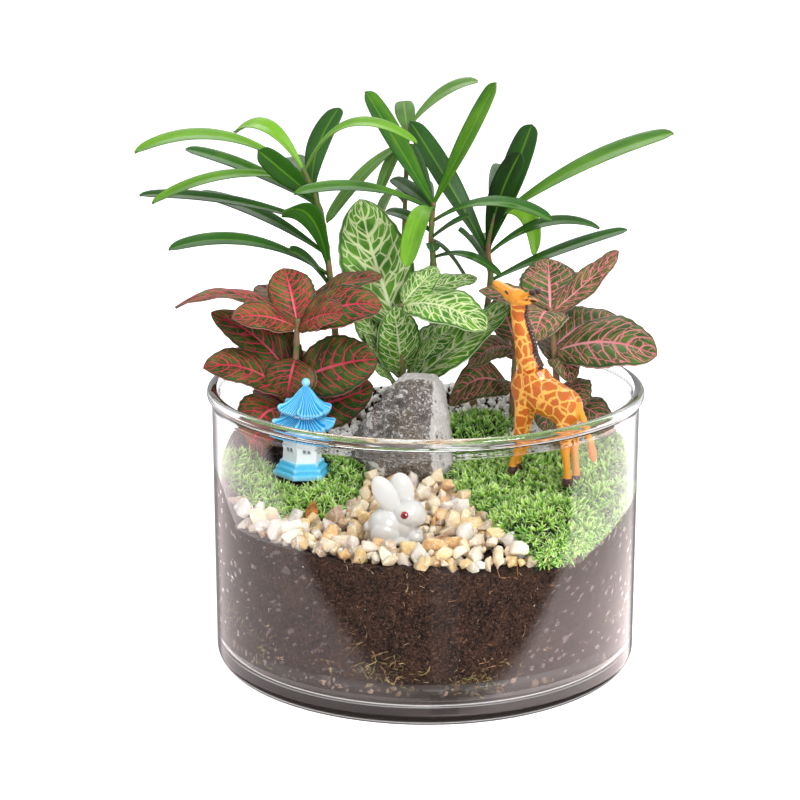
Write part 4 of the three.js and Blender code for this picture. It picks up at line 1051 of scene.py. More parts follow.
def hexRoof(heap, eave, top, radius, rise):
    around, rows = 216, 18
    turn = 2 * math.pi * np.arange(around) / around
    reach, corner = hexReach(turn, 0.03)
    share = np.linspace(1, 0.06, rows)
    lift = np.interp(share, [0.06, 0.28, 0.5, 0.74, 1], [1.0, 0.72, 0.4, 0.16, 0])
    points, uv = [], []
    ridge = np.clip(corner * 5 - 4, 0, 1)
    groove = 0.3 * np.sin(turn * 48) * (1 - ridge)
    for part, level in zip(share, lift):
        slope = eave + (top - eave) * level + rise * corner ** 5 * max(0, (part - 0.4) / 0.6) ** 1.6
        height = slope + 0.6 * ridge * (part < 0.99) + groove * min(1, part * 2)
        points.append(hexRing(turn, reach, radius * part, height))
        uv.append(np.column_stack([turn, np.full(around, part)]))
    under = points[0] - [0, 0, 1.1]
    skin = np.vstack([hexRing(turn, reach, 0.5 * radius, eave - 0.7), under, *points])
    blade = np.vstack([uv[0], uv[0], *uv])
    # The underside of the eave and its inner ring are marked for painted shadow
    shadow = np.repeat([1.0, 0.8, *([0.0] * rows)], around)
    heap.add(pagodaPlace(skin), gridFaces(rows + 2, around, closed=True), 0, blade=blade, paint=shadow)


def pagodaMaterials():
    roof = Recipe("pagodaBlue")
    turn, down, _ = roof.parts(roof.node("UVMap", {"uv_map": "blade"}))
    groove = roof.sum("SINE", turn * 48) * 0.5 + 0.5
    streak = roof.noise(roof.joined(turn * 22, down * 3, 0.0), 1.0, 4, 0.7)
    worn = roof.noise(roof.place(), 0.8, 4, 0.6)
    under = roof.layer("paint")
    # Painted shade: deeper blue in the grooves between the tiles
    colour = roof.mix(roof.rise(1 - groove, 0.4, 1.0) * 0.75, pagoda["blue"], pagoda["deep"])
    # Pale streaks, strongest on the raised ridges, where they are painted highlight
    streaksAndRidgeHighlight = roof.rise(streak * 0.5 + groove * 0.5, 0.56, 0.8)
    colour = roof.mix(streaksAndRidgeHighlight * (1 - under) * 0.8, colour, pagoda["pale"])
    colour = roof.mix(roof.rise(down, 0.93, 1.0) * 0.4 * (1 - under), colour, pagoda["pale"])
    # Painted shadow: the underside of each eave and the bands under the roofs turn deep blue
    colour = roof.mix(roof.rise(under, 0.4, 0.9) * 0.85, colour, pagoda["deep"])
    blue = roof.surface({
        "Base Color": colour, "Roughness": 0.4 + streak * 0.2, "Specular IOR Level": 0.3,
        "Normal": roof.bump(streak + worn * 0.5, 0.4, 0.4),
    })
    foot = Recipe("pagodaBase")
    worn, edge = foot.noise(foot.place(), 0.6, 4, 0.6), foot.node("NewGeometry", out="Pointiness")
    colour = foot.mix(foot.rise(worn, 0.35, 0.7) * 0.35, pagoda["base"], pagoda["blue"])
    colour = foot.mix(foot.rise(edge, 0.515, 0.56) * 0.7, colour, pagoda["pale"])
    base = foot.surface({
        "Base Color": colour, "Roughness": 0.34 + worn * 0.16, "Normal": foot.bump(worn, 0.25, 0.4),
    })
    wall = Recipe("pagodaWall")
    grime = wall.noise(wall.place(), 0.35, 4, 0.6)
    colour = wall.mix(wall.rise(wall.layer("paint"), 0.2, 0.4), pagoda["wall"], pagoda["frame"])
    colour = wall.mix(wall.rise(wall.layer("paint"), 0.6, 0.9), colour, pagoda["window"])
    colour = wall.shade(colour, 0.94 + grime * 0.12)
    white = wall.surface({
        "Base Color": colour, "Roughness": 0.42 + grime * 0.15, "Normal": wall.bump(grime, 0.2, 0.3),
    })
    return [blue, base, white]


def makePagoda():
    heap = Heap()
    hexLoft(heap, pagoda["steps"], 1)
    hexLoft(heap, [(8.6, 6.4), (8.5, 7), (8.0, 22.3)], 2)
    hexLoft(heap, [(6.4, 21), (6.3, 29)], 2)
    # A band under the lower roof, in the roof's blue, painted deep as shade under the eave
    hexLoft(heap, [(8.5, 20.2), (8.8, 20.8), (8.5, 21.4)], 0, eaveShade=0.8)
    for eave, top, radius, rise in pagoda["roofs"]:
        hexRoof(heap, eave, top, radius, rise)
    # A band under the upper roof, painted deep as shade under the eave
    hexLoft(heap, [(6.8, 26.2), (7.1, 26.9), (6.8, 27.5)], 0, eaveShade=0.8)
    # A small window in each wall
    for k in range(6):
        middle = math.radians(60 * k + 30)
        outward = np.array([math.cos(middle), math.sin(middle), 0])
        across = np.array([-math.sin(middle), math.cos(middle), 0])
        for size, proud, tone in pagoda["frames"]:
            centre = outward * (pagoda["wallFace"] + proud) + [0, 0, pagoda["windowHeight"]]
            tall = 1.3 * size if size > 1 else 1.8
            corners = ((-1, -1), (1, -1), (1, 1), (-1, 1))
            square = [centre + across * a * size + np.array([0, 0, b * tall]) for a, b in corners]
            back = [p - outward * 0.5 for p in square]
            sides = np.array([[0, 1, 5, 4], [1, 2, 6, 5], [2, 3, 7, 6], [3, 0, 4, 7], [0, 3, 2, 1]])
            heap.add(pagodaPlace(np.array(square + back)), sides, 2, blade=[0.2, 0.5], paint=tone)
    hexLoft(heap, [(1.3, 37), (1.0, 38.4), (0.4, 38.6)], 0)
    points, faces = ball((0, 0, 39.6), (1.8, 1.8, 1.8), level=3)
    heap.add(pagodaPlace(points), faces, 1, blade=[0.2, 0.5], paint=0.0)
    heap.build("paintedPagoda", pagodaMaterials(), "pagoda", "pagoda_paint", sharp=35)


# Rabbit

rabbit = {
    "spot": (-12, -55), "foot": 65.2, "white": paint(212, 211, 207), "shade": paint(150, 147, 146),
    "eye": paint(168, 10, 30), "pupil": paint(70, 4, 14), "glint": paint(250, 240, 240),
    # half width, half thickness, how far out, shift forward and up, tone
    "eyeParts": [(1.6, 0.75, 0.0, 0, 0.0), (0.85, 0.75, 0.5, 0, 0.5), (0.3, 0.3, 0.8, 0.5, 1.0)],
}


def rabbitMaterials():
    glaze = Recipe("whiteGlaze")
    soft = glaze.noise(glaze.place(), 0.12, 2)
    # Painted shade: the white turns to the shade colour in hollows and creases
    creaseShade = 1 - glaze.rise(glaze.node("NewGeometry", out="Pointiness"), 0.42, 0.5)
    colour = glaze.mix(creaseShade * 0.6 + soft * 0.08, rabbit["white"], rabbit["shade"])
    white = glaze.surface({
        "Base Color": colour, "Roughness": 0.1 + soft * 0.08, "Coat Weight": 0.4,
        "Normal": glaze.bump(soft, 0.12, 0.8),
    })
    eye = Recipe("redEye")
    tip = eye.layer("tip")
    tone = eye.mix(eye.rise(tip, 0.1, 0.4), rabbit["eye"], rabbit["pupil"])
    # The small front part of each eye is a painted highlight
    tone = eye.mix(eye.rise(tip, 0.7, 0.9), tone, rabbit["glint"])
    mottle = eye.noise(eye.place(), 1.6, 2)
    red = eye.surface({
        "Base Color": eye.shade(tone, 0.85 + mottle * 0.3), "Roughness": 0.12, "Coat Weight": 0.5,
    })
    return [white, red]


def makeRabbit():
    parts = [
        ball((-3.6, 0, 7), (7.4, 6.4, 7.4)), ball((2.2, 0, 7.2), (5.8, 5, 7)),
        ball((4.8, 0, 11.8), (6.8, 5.8, 6)), ball((8.4, 0, 10.4), (3.6, 4, 3.6)),
        ball((-4.0, -2.0, 20.2), (4.5, 2.0, 8.3), (0, -29, 0)),
        ball((2.0, 1.6, 20.2), (5.2, 2.2, 7.9), (0, -7, 0)),
        *[ball((7.2, 2.7 * side, 2.4), (3.6, 2.4, 3)) for side in (-1, 1)],
        ball((-10.4, 0, 6.4), (2.3, 2.3, 2.3)),
        *[ball((-4.4, 4.5 * side, 4.6), (5.6, 2.6, 5.2), (0, 12, 0)) for side in (-1, 1)],
        *[ball((0.8, 4.9 * side, 1.7), (4.0, 1.9, 1.7)) for side in (-1, 1)],
    ]
    points, faces = blendParts(parts, 0.32, 3)
    points[:, 2] = np.maximum(points[:, 2], 0)
    move = np.array([*rabbit["spot"], rabbit["foot"]])
    heap = Heap()
    heap.add(points + move, faces, 0, tip=0.0)
    for side in (-1, 1):
        for half, thick, out, shift, tone in rabbit["eyeParts"]:
            centre = (3.4 + shift, side * (5.35 + out), 12.7 + shift)
            eye, faces = ball(centre, (half, thick, half), level=3)
            heap.add(eye + move, faces, 1, tip=tone)
    heap.build("glazedRabbit", rabbitMaterials(), "rabbit", "rabbit_glaze")


# Giraffe

giraffe = {
    "spot": (48, -12), "foot": 78.6, "heading": 141.5, "patchSize": 4.5,
    "hooves": [(13, 2.6), (14.5, -2.6), (-14, 3), (-14.3, -3)], "hips": (8, -11.5),
    "coat": paint(222, 144, 34), "cream": paint(236, 178, 86), "patch": paint(182, 84, 14),
    "hoof": paint(62, 24, 26), "mane": paint(56, 32, 30), "tuft": paint(216, 118, 38),
}


def giraffePlace(points):
    return turnBy(points, (0, 0, giraffe["heading"])) + np.array([*giraffe["spot"], giraffe["foot"]])


def hoofSpots():
    return [tuple(giraffePlace(np.array([[x, y, 0.0]]))[0, :2]) for x, y in giraffe["hooves"]]


def giraffeMaterial():
    recipe = Recipe("giraffeCoat")
    where = recipe.place()
    wobble = recipe.noise(where, 0.4, 2, out=1)
    reach = (1.6, 1.6, 1.6)
    bent = recipe.node("VectorMath", {"operation": "MULTIPLY_ADD"}, {0: wobble, 1: reach, 2: where})
    gap = recipe.cells(bent, 1 / giraffe["patchSize"], "DISTANCE_TO_EDGE")
    soft = recipe.noise(where, 0.3, 3)
    body, dark = recipe.layer("tone"), recipe.layer("tip")
    spread = recipe.rise(body, 0.3, 0.6)
    patch = recipe.rise(gap, 0.05, 0.11) * spread
    colour = recipe.mix(spread * (1 - patch) * 0.75, giraffe["coat"], giraffe["cream"])
    colour = recipe.mix(patch * (0.7 + soft * 0.4).least(1), colour, giraffe["patch"])
    colour = recipe.mix(recipe.rise(dark, 0.1, 0.3), colour, giraffe["tuft"])
    colour = recipe.mix(recipe.rise(dark, 0.45, 0.6), colour, giraffe["mane"])
    colour = recipe.mix(recipe.rise(dark, 0.75, 0.9), colour, giraffe["hoof"])
    return recipe.surface({
        "Base Color": recipe.shade(colour, 0.88 + soft * 0.24), "Roughness": 0.28 + soft * 0.16,
        "Normal": recipe.bump(soft - patch * 0.3, 0.25, 0.5), "Coat Weight": 0.2,
    })


def makeGiraffe():
    legs = []
    for i, (x, y) in enumerate(giraffe["hooves"]):
        hip = giraffe["hips"][i // 2]
        line = smoothPath([(x, y, 3.2), (x - 0.2, y, 5), ((x + hip) / 2, y, 16), (hip, 0.9 * y, 32)], 22)
        knee = 0.6 * np.exp(-((line[:, 2] - 16) / 2.4) ** 2)
        thick = np.interp(line[:, 2], [3, 6, 16, 24, 32], [1.7, 1.45, 1.7, 2.9, 4.2])
        legs.append(tube(line, thick + knee, 12))
        hoof = [(x, y, 0.0), (x, y, 0.4), (x, y, 2.4), (x - 0.1, y, 3.6)]
        legs.append(tube(hoof, [2.2, 2.4, 2.1, 1.8], 12))
    neck = np.interp(np.linspace(0, 4, 26), range(5), [7.5, 5.6, 4, 3.2, 3.2])
    crest = smoothPath([(4.4, 0, 45), (5.2, 0, 55), (9.6, 0, 66), (9.4, 0, 72)], 16)
    snout = np.interp(np.linspace(0, 2, 10), range(3), [3.6, 2.5, 1.8])
    tail = [*np.linspace(1.7, 1.3, 12), *np.linspace(1.5, 1.9, 5), 1.5, 1.0, 0.6]
    parts = [
        ball((-2, 0, 34.4), (15, 7.2, 8.2), (0, -16, 0)), ball((7, 0, 37), (8, 7, 9.5)),
        ball((-10.6, 0, 31.4), (7.6, 6.8, 8)),
        tube(smoothPath([(3, 0, 38), (7, 0, 46), (10, 0, 55), (13, 0, 66), (13, 0, 73)], 26), neck, 14),
        ball((13.5, 0, 73.5), (4.6, 3.6, 3.8), (0, -28, 0)),
        tube(smoothPath([(12, 0, 72.5), (19, 0, 75.6), (24.5, 0, 78)], 10), snout, 12),
        ball((24.2, 0, 77.9), (1.9, 1.8, 1.7)), ball((17, 0, 74.2), (3.4, 2.9, 2.6)),
        *[tube([(13, y, 74), (7, y, 76.5)], 0.8, 8) for y in (-1.7, 1.7)],
        *[ball((5.2, y, 77), (1.6, 1.3, 1.4)) for y in (-1.7, 1.7)],
        *[ball((8.4, 3.2 * side, 72.7), (3.5, 1.4, 0.9), (0, 0, side * 22)) for side in (-1, 1)],
        tube(crest, np.linspace(1.6, 1.0, 16), 8),
        tube(smoothPath([(-15.5, 0, 35), (-19.5, 0, 28), (-23, 0, 18), (-24.5, 0, 11)], 20), tail, 10),
        *legs,
    ]
    points, faces = blendParts(parts, 0.4, 3)
    x, y, z = points.T
    # The mane is a row of short ridges down the back of the neck
    ridge = np.interp(z, [45, 55, 66, 72], [4.4, 5.2, 9.6, 9.4])
    mane = (z > 44) & (z < 73.5) & (x < ridge - 0.1) & (x > ridge - 4) & (np.abs(y) < 1.9)
    points[mane, 0] += 0.22 * np.sin(4.2 * z[mane] + 2 * y[mane])
    knobs = (x < 6.6) & (z > 75.4)
    tuft = (x < -22) & (z < 20)
    dark = np.where(z < 3.3, 1.0, np.where(mane | knobs, 0.68, np.where(tuft, 0.36, 0.0)))
    body = np.where((z > 17) & (z < 71) & (x > -17.5), 1.0, 0.0)
    mouth = (np.abs(z - 75.2 - (x - 19) * 0.42) < 0.28) & (x > 22.6) & (np.abs(y) > 0.6)
    dark = np.where(mouth, 0.68, dark)
    heap = Heap()
    heap.add(giraffePlace(points), faces, 0, tip=dark, tone=body)
    for side in (-1, 1):
        eye, rims = ball((17.2, side * 2.72, 75.7), (1.2, 0.45, 0.5), (0, -38, 0), level=3)
        heap.add(giraffePlace(eye), rims, 0, tip=1.0, tone=0.0)
    heap.build("paintedGiraffe", [giraffeMaterial()], "giraffe", "giraffe_plastic")


# Dry leaf

dryLook = {
    "spot": (-46.2, -35.2, 66.9), "length": 9, "half": 2.6,
    "brown": paint(200, 138, 74), "dark": paint(142, 86, 42),
}


def makeDryLeaf():
    recipe = Recipe("dryLeaf")
    cloud = recipe.noise(recipe.place(), 0.5, 4, 0.65)
    colour = recipe.mix(recipe.rise(cloud, 0.35, 0.65), dryLook["dark"], dryLook["brown"])
    finish = recipe.surface({
        "Base Color": colour, "Roughness": 0.8, "Normal": recipe.bump(cloud, 0.6, 0.5),
    })
    rows, columns = 22, 11
    share, side = np.meshgrid(np.linspace(0, 1, rows), np.linspace(-1, 1, columns), indexing="ij")
    half = dryLook["half"] * np.sin(math.pi * (0.12 + 0.86 * share ** 0.8))
    wave = 0.25 * np.sin(9 * share + 3 * side)
    high = dryLook["length"] * share + 0.8 * side ** 2
    upper = np.stack([side * half + 1.4 * share, 1.5 * share ** 2 + wave, high], -1).reshape(-1, 3)
    lower = upper + [0, 0.5, 0]
    heap = Heap()
    skin = turnBy(np.vstack([upper, lower]), (20, 0, 0)) + dryLook["spot"]
    heap.add(skin, bladeFaces(rows, columns))
    heap.build("dryLeaf", [finish], "dry_leaf", "dry_leaf")


# Leaves and stems

def bladeFaces(rows, columns):
    # The upper face of a blade, its lower face, and the thin wall round their edge
    count = rows * columns
    grid = np.arange(count).reshape(rows, columns)
    edge = [*grid[0, :-1], *grid[:-1, -1], *grid[-1, :0:-1], *grid[:0:-1, 0]]
    rim = np.array([[p, p + count, q + count, q] for p, q in zip(edge, edge[1:] + edge[:1])])
    return [gridFaces(rows, columns), gridFaces(rows, columns, start=count, flip=True), rim]


def closeTip(t, start):
    # 1 along a leaf, and rounded off to 0 from a start to its tip
    return np.sqrt(np.clip(1 - (np.clip(t - start, 0, 1) / (1 - start)) ** 2.2, 0, 1))


def strapOutline(t):
    rising = 0.2 + 0.8 * np.sin(math.pi / 2 * np.clip(t / 0.62, 0, 1)) ** 1.2
    falling = 0.3 + 0.7 * np.sqrt(np.clip(1 - (np.clip(t - 0.62, 0, 1) / 0.38) ** 2.4, 0, 1))
    return np.where(t < 0.62, rising, falling) * closeTip(t, 0.93)


def nerveOutline(t):
    belly = np.sin(math.pi * np.clip(np.clip(t - 0.05, 0, 1) / 0.97, 0, 1) ** 0.85) ** 0.68
    return (0.08 + 0.92 * belly) * closeTip(t, 0.9)


leafKinds = {
    "strap": {
        "outline": strapOutline, "rows": 34, "columns": 9, "thick": 0.7,
        "fold": 0.16, "curl": 0.0, "wave": 0.0,
    },
    "nerve": {
        "outline": nerveOutline, "rows": 46, "columns": 31, "thick": 0.45,
        "fold": 0.3, "curl": 0.28, "wave": 0.5,
        "laterals": 8, "sweep": 0.26, "pucker": 0.36,  # side veins, their slant, and the bulge between them
    },
}
towardLight = (0, -0.5, 1)  # the way a leaf faces if its row doesn't say


def addBlade(heap, kindName, base, blade, rng):
    # One leaf, both faces and the rim; t goes from its stem to its tip, side from -1 to 1 across it, and u
    # from its midrib to its edge
    _, tip, bend, width, tone, *facing = blade
    kind = leafKinds[kindName]
    rows, columns = kind["rows"], kind["columns"]
    start, end = np.array(base, float), np.array(tip, float)
    bend = np.array([0, 0, bend] if np.isscalar(bend) else bend, float)
    control = (start + end) / 2 + 2 * bend
    t = (1 - np.cos(math.pi * np.linspace(0, 1, rows))) / 2 * 0.45 + np.linspace(0, 1, rows) * 0.55
    side = np.sin(np.linspace(-1, 1, columns) * math.pi / 2) * 0.35 + np.linspace(-1, 1, columns) * 0.65
    middle = start * ((1 - t) ** 2)[:, None] + control * (2 * t * (1 - t))[:, None] + end * (t ** 2)[:, None]
    along = unit((control - start) * (1 - t)[:, None] + (end - control) * t[:, None])
    across = unit(np.cross(end - start, np.array(facing[0] if facing else towardLight, float)))
    normal = unit(np.cross(across[None], along))
    half = width / 2 * kind["outline"](t)
    u = np.abs(side)[None]
    lift = half[:, None] * (kind["fold"] * u - kind["curl"] * u ** 2)
    lift = lift + kind["wave"] * np.sin(17 * t[:, None] + 2 * side[None]) * u ** 2
    wide = half[:, None] * side[None]
    if kindName == "nerve":
        phase = (t[:, None] - kind["sweep"] * u ** 1.3) * kind["laterals"] + 0.35
        between = 0.5 - 0.5 * np.cos(2 * math.pi * phase)
        bulge = kind["pucker"] * (width / 22) * between * np.clip(4 * u * (1.04 - u), 0, 1) ** 0.6
        lift = lift + bulge * np.clip(half[:, None] / (width / 2), 0, 1) - 0.35 * np.exp(-(u / 0.07) ** 2)
        wide = wide * (1 + 0.02 * u ** 4 * np.sin(t[:, None] * 60 + side[None]))
    else:
        lift = lift - 0.25 * np.exp(-(u / 0.14) ** 2)
    upper = middle[:, None] + across * wide[..., None] + normal[:, None] * lift[..., None]
    lower = upper - normal[:, None] * (0.22 + kind["thick"] * (1 - side ** 2))[None, :, None]
    uv = np.stack(np.broadcast_arrays(side[None] * 0.5 + 0.5, t[:, None]), -1).reshape(-1, 2)
    skin = np.vstack([upper.reshape(-1, 3), lower.reshape(-1, 3)])
    tone = tone + rng.uniform(-0.04, 0.04)
    heap.add(skin, bladeFaces(rows, columns), 0, blade=np.vstack([uv, uv]), tone=tone,
             under=np.repeat([0.0, 1.0], rows * columns), seed=rng.uniform(0, 9))


def addStem(heap, points, radius, rng):
    # A stem with thicker joints where its leaves come off
    rows = 60
    line = smoothPath(points, rows)
    share = np.linspace(0, 1, rows)
    joints = 0.22 * np.clip(np.cos(line[:, 2] * 2 * math.pi / 9), 0, 1) ** 6
    shape, faces = tube(line, radius * (1 - 0.45 * share) * (1 + joints), 10)
    heap.add(shape, faces, 1, blade=np.column_stack([np.full(len(shape), 0.5), shape[:, 2] / 200]),
             tone=0.4, under=0.0, seed=rng.uniform(0, 9))


def stemPoint(points, height):
    # Where a stem is at a height
    heights = [p[2] for p in points]
    return np.array([np.interp(height, heights, [p[k] for p in points]) for k in range(3)])


strapColours = {
    "green": {
        "dark": paint(18, 42, 10), "mid": paint(38, 90, 14), "bright": paint(114, 168, 34),
        "under": paint(84, 108, 52),
    },
    "pale": {
        "dark": paint(50, 80, 34), "mid": paint(92, 132, 58), "bright": paint(146, 180, 96),
        "under": paint(116, 138, 84),
    },
}


def bladeSockets(recipe):
    # -1 to 1 across a leaf, how far that is from its midrib, and 0 to 1 from its stem to its tip
    around, along, _ = recipe.parts(recipe.node("UVMap", {"uv_map": "blade"}))
    across = around * 2 - 1
    return across, abs(across), along


def strapMaterial(name, colours):
    recipe = Recipe(name)
    across, side, along = bladeSockets(recipe)
    tone, under, seed = recipe.layer("tone"), recipe.layer("under"), recipe.layer("seed")
    stripes = recipe.noise(recipe.joined(across * 14, along * 2.2, seed * 7), 1.0, 4, 0.7)
    cloud = recipe.noise(recipe.joined(across, along * 5, seed * 3), 0.9, 2)
    # The tone sets the level: partly the leaf's own colour, partly painted light and shade
    level = tone + (cloud - 0.5) * 0.34 + (stripes - 0.5) * 0.22 + across * 0.06
    colour = recipe.ramp(level, [(0.1, colours["dark"]), (0.54, colours["mid"]), (0.97, colours["bright"])])
    rib = 1 - recipe.rise(side, 0.03, 0.13)
    colour = recipe.mix(rib * 0.35, colour, colours["bright"])
    colour = recipe.mix(recipe.rise(side, 0.9, 1.0) * 0.35, colour, colours["dark"])
    dull = recipe.mix(0.45 + tone * 0.2, colour, colours["under"])
    colour = recipe.mix(under * 0.85, colour, dull)
    return recipe.surface({
        "Base Color": colour, "Roughness": 0.28 + under * 0.2 + stripes * 0.16, "Specular IOR Level": 0.26,
        "Normal": recipe.bump(stripes + rib * -0.6, 0.22, 0.4),
    })


nerveColours = {
    "red": {
        "ground": paint(32, 66, 20), "light": paint(70, 102, 38), "vein": paint(220, 48, 84),
        "halo": paint(140, 52, 40), "core": paint(228, 116, 130), "rim": paint(30, 56, 22),
        "under": paint(100, 84, 58), "veinWidth": 0.1, "net": 0.055,
    },
    "pink": {
        "ground": paint(40, 78, 28), "light": paint(76, 110, 46), "vein": paint(222, 126, 136),
        "halo": paint(140, 92, 62), "core": paint(238, 172, 176), "rim": paint(40, 66, 28),
        "under": paint(112, 98, 72), "veinWidth": 0.11, "net": 0.065,
    },
    "white": {
        "ground": paint(58, 112, 24), "light": paint(96, 148, 44), "vein": paint(208, 220, 164),
        "halo": paint(136, 178, 86), "core": paint(220, 230, 188), "rim": paint(44, 92, 28),
        "under": paint(124, 152, 86), "veinWidth": 0.14, "net": 0.11,
    },
}


def nerveMaterial(name, colours):
    recipe = Recipe(name)
    kind = leafKinds["nerve"]
    across, side, along = bladeSockets(recipe)
    tone, under, seed = recipe.layer("tone"), recipe.layer("under"), recipe.layer("seed")
    wobble = recipe.noise(recipe.joined(across * 2, along * 4, seed), 1.6, 2) - 0.5
    phase = (along - side ** 1.3 * kind["sweep"]) * kind["laterals"] + 0.35 + wobble * 0.34
    lateral = 0.5 - abs(phase.fract() - 0.5)
    width = colours["veinWidth"]
    line = 1 - recipe.rise(lateral, (1 - side * 0.62) * width * 0.45, (1 - side * 0.5) * width)
    # The net between the side veins: long cells that lie along them
    where = recipe.joined(phase * 1.7, across * 2.7, seed * 11)
    net = recipe.cells(where, 1.0, "DISTANCE_TO_EDGE", jitter=0.9)
    thread = (tone * 0.6 + 0.4) * colours["net"]
    mesh = (1 - recipe.rise(net, thread * 0.3, thread)) * 0.88
    rib = 1 - recipe.rise(side, (1 - along * 0.7) * 0.04, (1 - along * 0.6) * 0.085)
    inner = 1 - recipe.rise(side, 0.84, 0.93)
    vein = line.most(mesh).most(rib) * inner
    halo = (1 - recipe.rise(lateral, 0.0, 0.3)).most(1 - recipe.rise(net, 0.0, 0.26)) * 0.4
    cloud = recipe.noise(recipe.place(), 0.12, 3)
    colour = recipe.mix(recipe.rise(cloud, 0.35, 0.68), colours["ground"], colours["light"])
    colour = recipe.mix(halo * (tone * tone * 1.3).least(1) * inner, colour, colours["halo"])
    colour = recipe.mix(vein * 0.94, colour, colours["vein"])
    colour = recipe.mix(rib * (1 - recipe.rise(along, 0.1, 0.8)) * 0.8, colour, colours["core"])
    colour = recipe.mix(recipe.rise(side, 0.86, 0.93) * 0.8, colour, colours["rim"])
    colour = recipe.mix(recipe.rise(side, 0.95, 0.985) * 0.5, colour, colours["core"])
    dull = recipe.mix(0.6, colour, colours["under"])
    colour = recipe.mix(under, colour, dull)
    lit = recipe.shade(colour, 0.46 + tone * 0.56 + cloud * 0.2)
    return recipe.surface({
        "Base Color": lit, "Roughness": 0.46 + under * 0.1 - vein * 0.06, "Specular IOR Level": 0.22,
        "Normal": recipe.bump(1 - vein + cloud * 0.4, 0.42, 0.55),
    })


def stemMaterial(name, low, high):
    recipe = Recipe(name)
    where = recipe.place()
    cloud = recipe.noise(where, 0.2, 4, 0.6)
    ring = recipe.noise(recipe.place(1000, (0.2, 0.2, 1)), 0.8, 2)
    colour = recipe.mix(recipe.rise(cloud * 0.6 + ring * 0.4, 0.4, 0.6), low, high)
    return recipe.surface({
        "Base Color": colour, "Roughness": 0.5 + cloud * 0.1, "Normal": recipe.bump(ring, 0.4, 0.4),
    })


